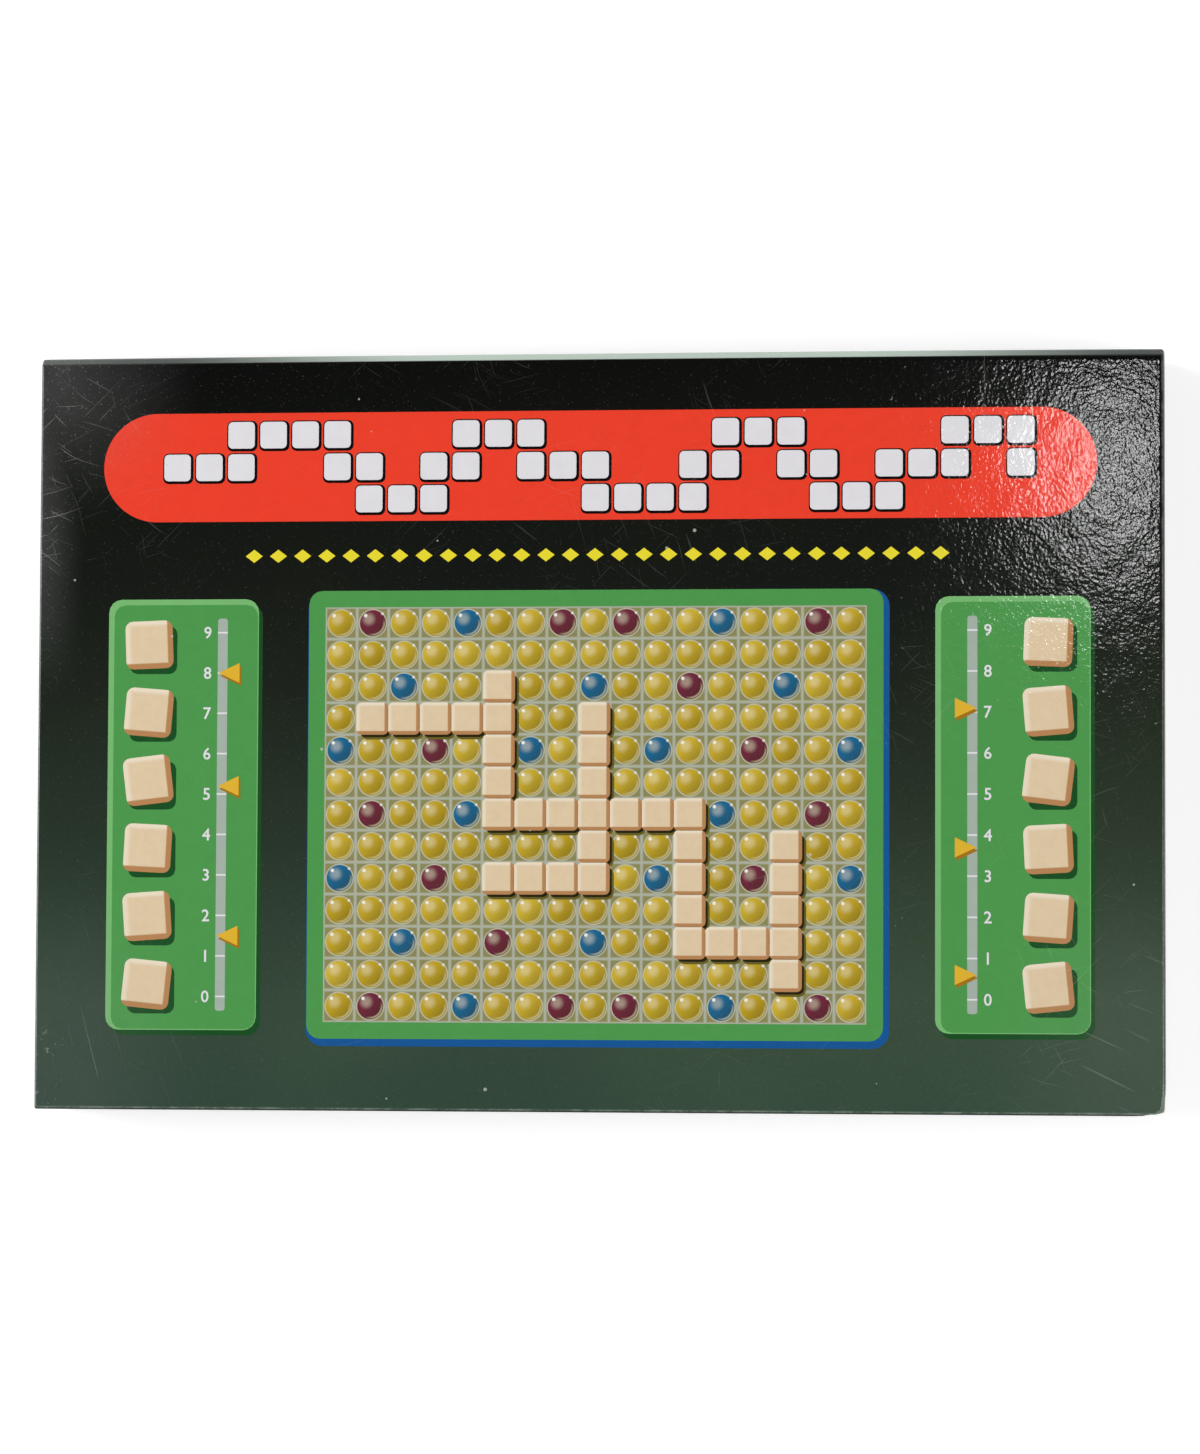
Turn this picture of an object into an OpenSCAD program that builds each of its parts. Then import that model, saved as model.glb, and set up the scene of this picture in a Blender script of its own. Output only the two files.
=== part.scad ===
// Travel word tile game case: a lift-off lid over a tray. Inside are a playing board with a
// sheet of clear domes, four tile racks that keep score, and one hundred letter tiles.
// Lengths are in millimetres. X runs along the box, Y across it, and Z up from the table.

/* [Case] */
// Thickness of the greyboard that the lid and the tray are folded from
greyboard_t = 1.4; // [1:0.1:2.4]
// Thickness of the printed paper glued over the greyboard
paper_t = 0.2; // [0.15:0.05:0.4]
// Gap between the tray's wall and the lid's wall
lid_gap = 0.6; // [0.4:0.1:2]
// Height of the lid's rim above the table
rim_height = 1.6; // [1:0.2:8]
// Height above the table at which the tray's paper is trimmed
paper_trim = 0.4; // [0.2:0.1:2]
// Width of paper turned in over each rim
turn_in = 12; // [8:1:18]
// Least depth of the tray inside
tray_depth = 29; // [26:0.5:60]
// Room between the racks' pointers and the lid
rack_headroom = 2.6; // [1.5:0.1:3]
// Room between the board's domes and the lid
board_headroom = 1; // [0.5:0.1:4]

/* [Playing board] */
// Number of squares along each side of the grid
squares = 15; // [11:2:17]
// Distance from one square to the next
square_pitch = 12.6; // [10:0.1:16]
// Width of the printed border round the grid
border_w = 5.5; // [3:0.5:12]
// Width of the welded rim round the printed sheet
rim_w = 4; // [3:0.5:8]
// Extra width of border at the back, for the printed table of tiles
tally_w = 8.6; // [0:0.1:24]
// Radius of the board's corners
corner_r = 6; // [3:0.5:12]
// Thickness of the vinyl sheet under the board
vinyl_t = 0.8; // [0.5:0.1:1.5]
// Thickness of the stiff board inside
core_t = 2; // [1:0.1:4]
// Thickness of the printed play sheet
print_t = 0.3; // [0.2:0.05:0.6]
// Thickness of the clear sheet between the domes
clear_t = 0.4; // [0.3:0.05:0.8]
// Thickness of a dome's wall
dome_t = 0.35; // [0.25:0.05:0.6]
// Gap between a dome and the tile that sits over it
dome_gap = 0.1; // [0.05:0.05:0.5]
// Gap between the board and the walls round it
board_gap = 1.5; // [1:0.1:6]

/* [Tiles] */
// Gap between neighbouring tiles on the board
tile_gap = 0.4; // [0.2:0.1:1]
// Height of a tile
tile_h = 5.6; // [4.5:0.1:9]
// Thickness of a tile's side walls
tile_wall = 0.9; // [0.7:0.1:1.5]
// Thickness of a tile's face
tile_face = 1.8; // [1:0.1:3]
// Tiles along each side of the well that stores them
tiles_across = 10; // [10:1:10]
// Gap between neighbouring tiles in the well
tile_play = 0.25; // [0.15:0.05:1]
// Gap between the outer tiles and the well's walls
well_gap = 0.6; // [0.3:0.1:3]
// Depth of a tile's top below the deck
tile_headroom = 0.4; // [0.3:0.1:3]

/* [Tile racks] */
// Length of a rack
rack_l = 92; // [90:1:120]
// Depth of a rack, back to front
rack_d = 31; // [29:0.5:42]
// Height of a rack
rack_h = 15; // [13:0.5:24]
// Depth of a rack's flat top
top_d = 15.5; // [14:0.1:20]
// Slope of the face that the tiles lean on, in degrees from level
lean = 62; // [55:1:75]
// Height of the ledge where it meets the leaning face
ledge_h = 2.8; // [2.4:0.1:5]
// Height of the lip at the front of the ledge
lip_h = 5.2; // [4:0.1:8]
// How far the lip's top lies behind its foot
lip_lean = 2.2; // [1:0.1:4]
// Thickness of a rack's walls
rack_wall = 1.6; // [1.2:0.1:2.2]
// Finger room between a rack's ends and the walls of its bay
rack_end_gap = 13.8; // [2:0.1:24]
// Gap between a rack's sides and the ridges beside it
rack_side_gap = 2; // [1:0.1:6]

/* [Score pointers] */
// Distance from one digit to the next
digit_pitch = 2.4; // [2.1:0.05:2.4]
// Distance between the slots' centres
slot_spacing = 29; // [28.5:0.1:30]
// Distance of the slots from the rack's back
slot_from_back = 7.8; // [7:0.1:8.5]
// Width of a slot
slot_w = 1.6; // [1.2:0.1:2]
// Depth of the recess round a slot
recess_depth = 0.4; // [0.2:0.1:0.6]
// Margin of the recess round a slot
recess_margin = 1.2; // [0.3:0.1:1.4]
// Length of the pointer's neck, along the slot
neck_l = 3.6; // [3:0.1:4]
// Sliding gap round the pointer's neck, body and foot
pointer_gap = 0.15; // [0.1:0.05:0.2]
// Width of the pointer, along the slot
pointer_w = 6.6; // [5.5:0.1:7.4]
// Length of the pointer, to its tip
pointer_l = 9.6; // [8:0.1:11]
// Length of the pointer's tail, in front of its slot
tail_l = 5.2; // [4:0.1:6]
// Length of the pointer's straight sides
shoulder_l = 2.9; // [1:0.1:4]
// Width and thickness of the pointer's tip
tip_t = 1; // [0.6:0.1:1.4]
// Thickness of the pointer where it is gripped
grip_t = 3; // [1.5:0.1:5]
// Distance of the grip's edge from the tail's end
grip_back = 1.4; // [0.5:0.1:3]
// Thickness of the pointer at the tail's end
tail_t = 2.5; // [1:0.1:4]
// Width of the snap-in foot, across the slot
foot_w = 3.2; // [2.4:0.1:4]
// Thickness of the pointer's foot
foot_t = 1; // [0.8:0.1:1.4]

/* [Insert] */
// Thickness of the white card that the insert is folded from
card_t = 1; // [0.6:0.1:1.6]
// Gap between the insert and the tray's walls
card_fit = 0.3; // [0.2:0.1:1]
// Height of the ridges between the racks, above the racks' feet
ridge_h = 8; // [4:0.5:10]
// Least width of a ridge
ridge_least = 6; // [4:1:12]
// Depth of the divider's top below the lid
divider_drop = 2; // [1:0.1:8]

/* [Rules leaflet] */
// Length of the folded leaflet
leaflet_l = 200; // [120:1:210]
// Width of the folded leaflet
leaflet_w = 146; // [100:1:170]
// Thickness of the folded leaflet
leaflet_t = 0.6; // [0.3:0.1:2]

/* [Hidden] */
RACKS = 4;
POINTERS = ["hundreds", "tens", "units"];
ROWS = ["01", "02", "03", "04", "05", "06", "07", "08", "09", "10"];
$fn = 48;

// Colours
BLACK_GREEN = [0.10, 0.14, 0.11];
GREYBOARD = [0.62, 0.60, 0.55];
WHITE_CARD = [0.93, 0.93, 0.90];
BLUE_VINYL = [0.13, 0.27, 0.50];
RACK_GREEN = [0.23, 0.55, 0.24];
YELLOW = [0.93, 0.73, 0.20];
IVORY = [0.86, 0.84, 0.76];

// How far a cut runs past the face that it opens
CUT = 1;

// Tiles and domes: a tile fills a square, and its hollow underside takes one dome
tile = square_pitch - tile_gap;
tile_hollow = tile - 2 * tile_wall;
tile_hollow_h = tile_h - tile_face;
dome_r = tile_hollow / 2 - dome_gap;
dome_h = tile_hollow_h - 4 * dome_gap;
dome_ball_r = (dome_r * dome_r + dome_h * dome_h) / (2 * dome_h);

// Playing board
grid_w = squares * square_pitch;
print_w = grid_w + 2 * border_w;
print_l = print_w + tally_w;
board_w = print_w + 2 * rim_w;
board_l = print_l + 2 * rim_w;
board_h = vinyl_t + core_t + print_t + clear_t + dome_h;

// Racks: the profile runs from the foot of the back, over the top, to the foot of the lip
back_y = rack_d / 2;
brow_y = back_y - top_d;
ledge_y = brow_y - (rack_h - ledge_h) / tan(lean);
lip_y = -back_y + lip_lean;
pointer_h = pointer_gap + grip_t;
travel = 9 * digit_pitch;
slot_l = travel + neck_l + 2 * pointer_gap;
slot_y = back_y - slot_from_back;

// Inside of the tray, set by what it holds
bay_l = rack_l + 2 * rack_end_gap;
trough_w = rack_d + 2 * rack_side_gap;
deck_space_l = max(board_w, leaflet_w) + 2 * board_gap;
deck_space_w = max(board_l, leaflet_l) + 2 * board_gap;
tray_in_l = deck_space_l + card_t + bay_l;
tray_in_w = max(deck_space_w, RACKS * trough_w + (RACKS - 1) * ridge_least);
card_legs = 3;
racks_stack = card_legs + card_t + rack_h + pointer_h + rack_headroom;
board_stack = card_legs + 2 * card_t + tile_h + tile_headroom + leaflet_t + board_h + board_headroom;
tray_in_h = max(tray_depth, racks_stack, board_stack);

// Lid and tray
floor_z = greyboard_t;
tray_h = floor_z + tray_in_h;
box_h = tray_h + greyboard_t + paper_t;
wall_t = greyboard_t + 2 * paper_t;
tray_l = tray_in_l + 2 * wall_t;
tray_w = tray_in_w + 2 * wall_t;
lid_in_l = tray_l + 2 * lid_gap;
lid_in_w = tray_w + 2 * lid_gap;
lid_l = lid_in_l + 2 * wall_t;
lid_w = lid_in_w + 2 * wall_t;

// Places along X
board_x = -tray_in_l / 2 + deck_space_l / 2;
divider_x = -tray_in_l / 2 + deck_space_l;
bay_x = tray_in_l / 2 - bay_l / 2;

// Heights of the stack under the lid
board_z = tray_h - board_headroom - board_h;
deck_z = board_z - leaflet_t;
well_z = deck_z - tile_headroom - tile_h;
well_in = tiles_across * (tile + tile_play) - tile_play + 2 * well_gap;
core_z = board_z + vinyl_t;
print_z = core_z + core_t;
clear_z = print_z + print_t;
rack_z = tray_h - rack_headroom - pointer_h - rack_h;
ridge_w = (tray_in_w - RACKS * trough_w) / (RACKS - 1);
rack_pitch = trough_w + ridge_w;

echo(box = [lid_l, lid_w, box_h], board = [board_w, board_l, board_h], tile = tile);

// A block by its size along X and Y and its two heights, centred on [x, y]
module block(l, w, z0, z1, x = 0, y = 0) {
    translate([x - l / 2, y - w / 2, z0])
        cube([l, w, z1 - z0]);
}

// A plate with round corners
module rounded_plate(l, w, r, z0, z1) {
    block(l - 2 * r, w, z0, z1);
    block(l, w - 2 * r, z0, z1);
    for (x = [-1, 1], y = [-1, 1])
        translate([x * (l / 2 - r), y * (w / 2 - r), z0])
            cylinder(h = z1 - z0, r = r);
}

// Lid: a greyboard box with an open underside, and the printed paper glued over it
module lid_board() {
    color(GREYBOARD)
        difference() {
            block(lid_l - 2 * paper_t, lid_w - 2 * paper_t, rim_height + paper_t, box_h - paper_t);
            block(lid_in_l + 2 * paper_t, lid_in_w + 2 * paper_t, rim_height - CUT, tray_h);
        }
}

module lid_wrap() {
    color(BLACK_GREEN) {
        difference() {
            block(lid_l, lid_w, rim_height, box_h);
            block(lid_l - 2 * paper_t, lid_w - 2 * paper_t, rim_height + paper_t, box_h - paper_t);
            block(lid_in_l, lid_in_w, rim_height - CUT, rim_height + CUT);
        }
        difference() {
            block(lid_in_l + 2 * paper_t, lid_in_w + 2 * paper_t, rim_height, rim_height + turn_in);
            block(lid_in_l, lid_in_w, rim_height - CUT, rim_height + turn_in + CUT);
        }
    }
}

// Tray: a greyboard box with an open top, and paper round its walls that turns in over the rim
module tray_board() {
    color(GREYBOARD)
        difference() {
            block(tray_l - 2 * paper_t, tray_w - 2 * paper_t, 0, tray_h - paper_t);
            block(tray_in_l + 2 * paper_t, tray_in_w + 2 * paper_t, floor_z, tray_h + CUT);
        }
}

module tray_wrap() {
    color(BLACK_GREEN) {
        difference() {
            block(tray_l, tray_w, paper_trim, tray_h);
            block(tray_l - 2 * paper_t, tray_w - 2 * paper_t, paper_trim - CUT, tray_h - paper_t);
            block(tray_in_l, tray_in_w, tray_h - CUT, tray_h + CUT);
        }
        difference() {
            block(tray_in_l + 2 * paper_t, tray_in_w + 2 * paper_t, tray_h - turn_in, tray_h);
            block(tray_in_l, tray_in_w, tray_h - turn_in - CUT, tray_h + CUT);
        }
    }
}

// Insert: a deck that holds the board up, with skirts and the divider folded from the same card
module deck() {
    deck_l = deck_space_l - card_fit;
    deck_w = tray_in_w - 2 * card_fit;
    deck_x = divider_x - deck_l / 2;
    color(WHITE_CARD)
        difference() {
            union() {
                block(deck_l, deck_w, floor_z, deck_z, deck_x);
                block(card_t, deck_w, floor_z, tray_h - divider_drop, divider_x + card_t / 2);
            }
            block(deck_l - card_t, deck_w - 2 * card_t, floor_z - CUT, deck_z - card_t,
                deck_x + card_t / 2);
            block(well_in, well_in, deck_z - card_t - CUT, deck_z + CUT, board_x);
        }
}

// The well that the tiles lie in: a raised floor between four walls, with a rib under it
module tile_well() {
    well_out = well_in + 2 * card_t;
    color(WHITE_CARD)
        difference() {
            block(well_out, well_out, floor_z, deck_z - card_t, board_x);
            block(well_in, well_in, well_z, deck_z + CUT, board_x);
            for (side = [-1, 1])
                block((well_in - card_t) / 2, well_in, floor_z - CUT, well_z - card_t,
                    board_x + side * (well_in + card_t) / 4);
        }
}

// A raised card floor with a hollow ridge between each rack and the next
module rack_cradle() {
    cradle_w = tray_in_w - 2 * card_fit;
    cradle_l = bay_l - 2 * card_fit;
    color(WHITE_CARD)
        difference() {
            union() {
                block(cradle_l, cradle_w, floor_z, rack_z, bay_x);
                for (i = [1 : RACKS - 1])
                    block(cradle_l, ridge_w, floor_z, rack_z + ridge_h, bay_x, ridge_y(i));
            }
            block(cradle_l - 2 * card_t, cradle_w - 2 * card_t, floor_z - CUT, rack_z - card_t, bay_x);
            for (i = [1 : RACKS - 1])
                block(cradle_l - 2 * card_t, ridge_w - 2 * card_t, floor_z - CUT, rack_z + ridge_h - card_t,
                    bay_x, ridge_y(i));
        }
}

module leaflet() {
    color(WHITE_CARD)
        block(leaflet_w, leaflet_l, deck_z, deck_z + leaflet_t, board_x);
}

// Playing board, from the bottom up
module board_cover() {
    color(BLUE_VINYL)
        translate([board_x, 0, 0])
            rounded_plate(board_w, board_l, corner_r, board_z, core_z);
}

module board_core() {
    color(GREYBOARD)
        block(print_w, print_l, core_z, print_z, board_x);
}

module play_sheet() {
    color(RACK_GREEN)
        block(print_w, print_l, print_z, clear_z, board_x);
}

module edge_piping() {
    color(BLUE_VINYL)
        difference() {
            translate([board_x, 0, 0])
                rounded_plate(board_w, board_l, corner_r, core_z, clear_z);
            block(print_w, print_l, core_z - CUT, clear_z + CUT, board_x);
        }
}

// Middle of a square of the grid, counted from the left and from the front
function square_x(i) = board_x + (i - (squares - 1) / 2) * square_pitch;
function square_y(j) = -tally_w / 2 + (j - (squares - 1) / 2) * square_pitch;

module dome_balls(r) {
    for (i = [0 : squares - 1], j = [0 : squares - 1])
        translate([square_x(i), square_y(j), clear_z + clear_t + dome_h - dome_ball_r])
            sphere(r = r);
}

module dome_sheet() {
    color(WHITE_CARD, 0.4)
        difference() {
            union() {
                translate([board_x, 0, 0])
                    rounded_plate(board_w, board_l, corner_r, clear_z, clear_z + clear_t);
                intersection() {
                    dome_balls(dome_ball_r);
                    block(board_w, board_l, clear_z, clear_z + clear_t + dome_h + CUT, board_x);
                }
            }
            dome_balls(dome_ball_r - dome_t);
        }
}

// One tile, face up, with its hollow underneath
module letter_tile() {
    difference() {
        block(tile, tile, 0, tile_h);
        block(tile_hollow, tile_hollow, -CUT, tile_hollow_h);
    }
}

// Row j of the tiles in their well, counted from the front
module tile_row(j) {
    step = tile + tile_play;
    middle = (tiles_across - 1) / 2;
    color(IVORY)
        for (i = [0 : tiles_across - 1])
            translate([board_x + (i - middle) * step, (j - middle) * step, well_z])
                letter_tile();
}

// A point where two lines cross, each given by a point and a direction
function crossing(p, u, q, v) = p + u * ((q - p).x * v.y - (q - p).y * v.x) / (u.x * v.y - u.y * v.x);

// A convex or hollow outline drawn in by t, with its first point and last point left at their height
function turned(u) = [u.y, -u.x] / norm(u);
function inner_line(a, b, t) = [a + turned(b - a) * t, b - a];

rack_outline = [
    [back_y, 0],
    [back_y, rack_h],
    [brow_y, rack_h],
    [ledge_y, ledge_h],
    [lip_y, lip_h],
    [-back_y, 0]
];

// The rack's hollow: each side of the outline is moved in by the wall, down to an open foot
function hollow_outline(t) =
    let (
        p = rack_outline,
        n = len(p) - 1,
        lines = [for (i = [0 : n - 1]) inner_line(p[i], p[i + 1], -t)],
        foot = [[0, -CUT], [1, 0]]
    )
    [
        crossing(foot[0], foot[1], lines[0][0], lines[0][1]),
        for (i = [0 : n - 2]) crossing(lines[i][0], lines[i][1], lines[i + 1][0], lines[i + 1][1]),
        crossing(lines[n - 1][0], lines[n - 1][1], foot[0], foot[1])
    ];

// An outline in Y and Z, run along X
module run_along(l, outline) {
    translate([-l / 2, 0, 0])
        rotate([90, 0, 90])
            linear_extrude(l)
                polygon(outline);
}

// A rack, with its middle on the origin and its foot at height 0
module rack_body() {
    difference() {
        run_along(rack_l, rack_outline);
        run_along(rack_l - 2 * rack_wall, hollow_outline(rack_wall));
        for (k = [-1, 0, 1]) {
            block(slot_l, slot_w, rack_h - rack_wall - CUT, rack_h + CUT, k * slot_spacing, slot_y);
            block(slot_l + 2 * recess_margin, slot_w + 2 * recess_margin,
                rack_h - recess_depth, rack_h + CUT, k * slot_spacing, slot_y);
        }
    }
}

// A pointer: a wedge with its tip over the digits, and a neck and a foot that snap into the slot
module pointer_body() {
    wedge_z = rack_h + pointer_gap;
    foot_z = rack_h - rack_wall - pointer_gap;
    tip_y = pointer_l - tail_l;
    intersection() {
        translate([0, 0, wedge_z])
            linear_extrude(grip_t)
                polygon([
                    [-pointer_w / 2, -tail_l],
                    [pointer_w / 2, -tail_l],
                    [pointer_w / 2, shoulder_l - tail_l],
                    [tip_t / 2, tip_y],
                    [-tip_t / 2, tip_y],
                    [-pointer_w / 2, shoulder_l - tail_l]
                ]);
        run_along(pointer_w, [
            [tip_y, wedge_z],
            [tip_y, wedge_z + tip_t],
            [grip_back - tail_l, wedge_z + grip_t],
            [-tail_l, wedge_z + tail_t],
            [-tail_l, wedge_z]
        ]);
    }
    block(neck_l, slot_w - 2 * pointer_gap, foot_z - foot_t, wedge_z + tip_t);
    block(neck_l, foot_w, foot_z - foot_t, foot_z);
}

// Middle of rack i, counted from the back, and of the ridge in front of it
function rack_y(i) = tray_in_w / 2 - trough_w / 2 - (i - 1) * rack_pitch;
function ridge_y(i) = rack_y(i) - rack_pitch / 2;

module rack(i) {
    color(RACK_GREEN)
        translate([bay_x, rack_y(i), rack_z])
            rack_body();
}

module pointer(i, k) {
    color(YELLOW)
        translate([bay_x + (k - 1) * slot_spacing - travel / 2, rack_y(i) + slot_y, rack_z])
            pointer_body();
}

lid_board();
lid_wrap();
tray_board();
tray_wrap();
deck();
tile_well();
rack_cradle();
leaflet();
board_cover();
board_core();
play_sheet();
edge_piping();
dome_sheet();
for (i = [1 : RACKS]) {
    rack(i);
    for (k = [0 : 2])
        pointer(i, k);
}
for (j = [0 : tiles_across - 1])
    tile_row(j);
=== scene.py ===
import math
import random

import bmesh
import bpy
from mathutils import Matrix, Vector

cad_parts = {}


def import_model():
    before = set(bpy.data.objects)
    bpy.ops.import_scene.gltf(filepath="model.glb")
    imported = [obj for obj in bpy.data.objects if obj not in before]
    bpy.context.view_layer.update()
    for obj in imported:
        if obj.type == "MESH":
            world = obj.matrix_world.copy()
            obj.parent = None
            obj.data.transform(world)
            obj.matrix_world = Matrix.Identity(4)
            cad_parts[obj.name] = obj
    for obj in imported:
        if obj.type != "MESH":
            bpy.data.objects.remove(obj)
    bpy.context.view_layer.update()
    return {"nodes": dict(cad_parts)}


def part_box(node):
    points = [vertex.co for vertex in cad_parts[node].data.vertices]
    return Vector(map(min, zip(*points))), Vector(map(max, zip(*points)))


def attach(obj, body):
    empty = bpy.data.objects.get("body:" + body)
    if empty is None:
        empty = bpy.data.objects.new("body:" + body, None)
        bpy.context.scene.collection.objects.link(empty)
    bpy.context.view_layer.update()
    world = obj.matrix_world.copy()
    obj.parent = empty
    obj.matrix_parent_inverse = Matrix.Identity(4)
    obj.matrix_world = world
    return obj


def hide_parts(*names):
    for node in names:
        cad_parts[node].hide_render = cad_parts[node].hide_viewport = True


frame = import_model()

MM = 0.001
PAPER = 0.2 * MM
GREYBOARD = 1.4 * MM
INK = 0.014 * MM  # the thickness of one printed layer
LETTER_PROUD = 0.012 * MM  # how far a printed letter or digit stands out of what it is printed on
ROUNDED = math.radians(30)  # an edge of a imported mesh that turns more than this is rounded
DRAWN_SHARP = math.radians(50)  # an edge that turns more than this is drawn sharp
NEAR = 1e-7
scene = bpy.context.scene


# ---------------------------------------------------------------- places taken from the frame

LID_LOW, LID_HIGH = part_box("lid_wrap")
TRAY_LOW, TRAY_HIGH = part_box("tray_wrap")
TRAY_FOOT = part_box("tray_board")[0].z
LID_HALF = Vector(((LID_HIGH.x - LID_LOW.x) / 2, (LID_HIGH.y - LID_LOW.y) / 2))
LID_BOARD_LOW, LID_BOARD_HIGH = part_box("lid_board")
FACE = LID_HIGH.z - 0.15 * MM
WALL = GREYBOARD + 2 * PAPER
WRAP = PAPER * 0.9  # a little thinner than its place, so that it stays clear of the greyboard
TURN_IN = 12 * MM


# ---------------------------------------------------------------- mesh helpers

def block(bm, low, high):
    """A box between two corners. Returns its vertices."""
    low, high = Vector(low), Vector(high)
    verts = bmesh.ops.create_cube(bm, size=1)["verts"]
    bmesh.ops.scale(bm, vec=high - low, verts=verts)
    bmesh.ops.translate(bm, vec=(low + high) / 2, verts=verts)
    return verts


def verts_in(geom):
    return [g for g in geom if isinstance(g, bmesh.types.BMVert)]


def edges_in(geom):
    return [g for g in geom if isinstance(g, bmesh.types.BMEdge)]


def edges_of(verts):
    return list(dict.fromkeys(edge for vert in verts for edge in vert.link_edges))


def upright(edges):
    """Those edges that run along Z."""
    return [e for e in edges if (e.verts[0].co.xy - e.verts[1].co.xy).length < NEAR]


def at_height(edges, z):
    return [e for e in edges if all(abs(v.co.z - z) < NEAR for v in e.verts)]


def soften(bm, edges, radius, segments=2):
    bmesh.ops.bevel(bm, geom=edges, offset=radius, offset_type="OFFSET", segments=segments, profile=0.5,
                    affect="EDGES", material=-1, clamp_overlap=True)


def slab(bm, centre, size, low, high, radius, segments):
    """A flat plate with round corners, between two heights."""
    (x, y), half = centre[:2], Vector(size) / 2
    verts = block(bm, (x - half.x, y - half.y, low), (x + half.x, y + half.y, high))
    if radius > 0:
        soften(bm, upright(edges_of(verts)), radius, segments)


def prism(bm, outline, low, high):
    """A flat plate of any outline, given by its corners in order."""
    face = bm.faces.new([bm.verts.new((x, y, low)) for x, y in outline])
    raised = bmesh.ops.extrude_face_region(bm, geom=[face])["geom"]
    bmesh.ops.translate(bm, vec=(0, 0, high - low), verts=verts_in(raised))


def cut(bm, place, normal):
    """Adds a loop of edges where a plane crosses the mesh."""
    bmesh.ops.bisect_plane(bm, geom=bm.verts[:] + bm.edges[:] + bm.faces[:], dist=NEAR, plane_co=place,
                           plane_no=normal)


def cuts(bm, axis, places):
    normal = Vector([float(i == axis) for i in range(3)])
    for place in places:
        cut(bm, normal * place, normal)


def spread(low, high, count):
    """Evenly spaced values strictly between two ends."""
    return [low + (high - low) * i / (count + 1) for i in range(1, count + 1)]


def place(bm, mesh, matrix):
    """Adds a copy of a mesh, moved by a matrix."""
    count = len(bm.verts)
    bm.from_mesh(mesh)
    bm.verts.ensure_lookup_table()
    bmesh.ops.transform(bm, matrix=matrix, verts=bm.verts[count:])


def as_mesh(bm, name):
    mesh = bpy.data.meshes.new(name)
    bm.to_mesh(mesh)
    bm.free()
    return mesh


def carry(bm, edges, offset):
    """Draws edges out into faces, by an offset. Returns the edges that they end at."""
    made = bmesh.ops.extrude_edge_only(bm, edges=edges)["geom"]
    bmesh.ops.translate(bm, vec=offset, verts=verts_in(made))
    return edges_in(made)


def walled(thickness, offset=-1.0):
    """The modifier that gives a sheet its thickness, inwards unless the offset says otherwise."""
    return "SOLIDIFY", {"thickness": thickness, "offset": offset}


def close_up(bm):
    """Merges doubles and turns every face outwards."""
    bmesh.ops.remove_doubles(bm, verts=bm.verts, dist=NEAR)
    bmesh.ops.recalc_face_normals(bm, faces=bm.faces)


def copy_of(node):
    """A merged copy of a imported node's mesh, with its flat faces made whole."""
    bm = bmesh.new()
    bm.from_mesh(frame["nodes"][node].data)
    bmesh.ops.remove_doubles(bm, verts=bm.verts, dist=1e-6)
    bmesh.ops.dissolve_limit(bm, angle_limit=math.radians(1), verts=bm.verts, edges=bm.edges)
    return bm


def sharp_edges(bm):
    return [e for e in bm.edges if len(e.link_faces) == 2 and e.calc_face_angle(0) > ROUNDED]


def piece(name, bm, material, body, replaces=(), crisp=True, modifiers=()):
    """Makes an object of a mesh, with its material, its body and the nodes that it stands for."""
    close_up(bm)
    mesh = as_mesh(bm, name)
    materials = material if isinstance(material, (list, tuple)) else [material]
    for one in materials:
        mesh.materials.append(one)
    made = bpy.data.objects.new(name, mesh)
    scene.collection.objects.link(made)
    if crisp:
        mesh.shade_smooth()
        mesh.set_sharp_from_angle(angle=DRAWN_SHARP)
    for kind, settings in modifiers:
        modifier = made.modifiers.new(kind.title(), kind)
        for key, value in settings.items():
            setattr(modifier, key, value)
    if crisp:
        made.modifiers.new("Weighted normals", "WEIGHTED_NORMAL").keep_sharp = True
    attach(made, body)
    if replaces:
        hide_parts(*replaces)


# ---------------------------------------------------------------- letters and digits

SIGNS = {}
SIGN_WELD, SIGN_STUB = 1e-4, 4e-3  # a letter's points closer than this are merged, and shorter edges go


def fatten(bm, amount):
    """Moves the upright sides of a flat sign outwards."""
    bm.normal_update()
    shifts = {}
    for vert in bm.verts:
        sides = [face.normal.xy.normalized() for face in vert.link_faces if abs(face.normal.z) < 0.5]
        along = sum(sides, Vector((0, 0))).normalized()
        reach = max(0.5, min(along.dot(side) for side in sides))
        shifts[vert] = along * amount / reach
    for vert, shift in shifts.items():
        vert.co.xy += shift


def sign(text, weight):
    """The solid shape of a letter or number, one unit tall and thick, centred on the origin."""
    if (text, weight) not in SIGNS:
        curve = bpy.data.curves.new("sign", "FONT")
        curve.body = text
        curve.resolution_u = 3
        curve.extrude = 0.5
        holder = bpy.data.objects.new("sign", curve)
        scene.collection.objects.link(holder)
        bpy.context.view_layer.update()
        mesh = bpy.data.meshes.new_from_object(holder.evaluated_get(bpy.context.evaluated_depsgraph_get()))
        bpy.data.objects.remove(holder)
        bm = bmesh.new()
        bm.from_mesh(mesh)
        bmesh.ops.remove_doubles(bm, verts=bm.verts, dist=SIGN_WELD)
        bmesh.ops.dissolve_degenerate(bm, dist=SIGN_STUB, edges=bm.edges)
        fatten(bm, weight)
        xs = [v.co.x for v in bm.verts]
        ys = [v.co.y for v in bm.verts]
        tall = max(ys) - min(ys)
        centre = Vector(((min(xs) + max(xs)) / 2, (min(ys) + max(ys)) / 2, 0))
        bmesh.ops.translate(bm, vec=-centre, verts=bm.verts)
        bmesh.ops.scale(bm, vec=(1 / tall, 1 / tall, 1), verts=bm.verts)
        SIGNS[text, weight] = as_mesh(bm, "sign_" + text)
    return SIGNS[text, weight]


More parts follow.
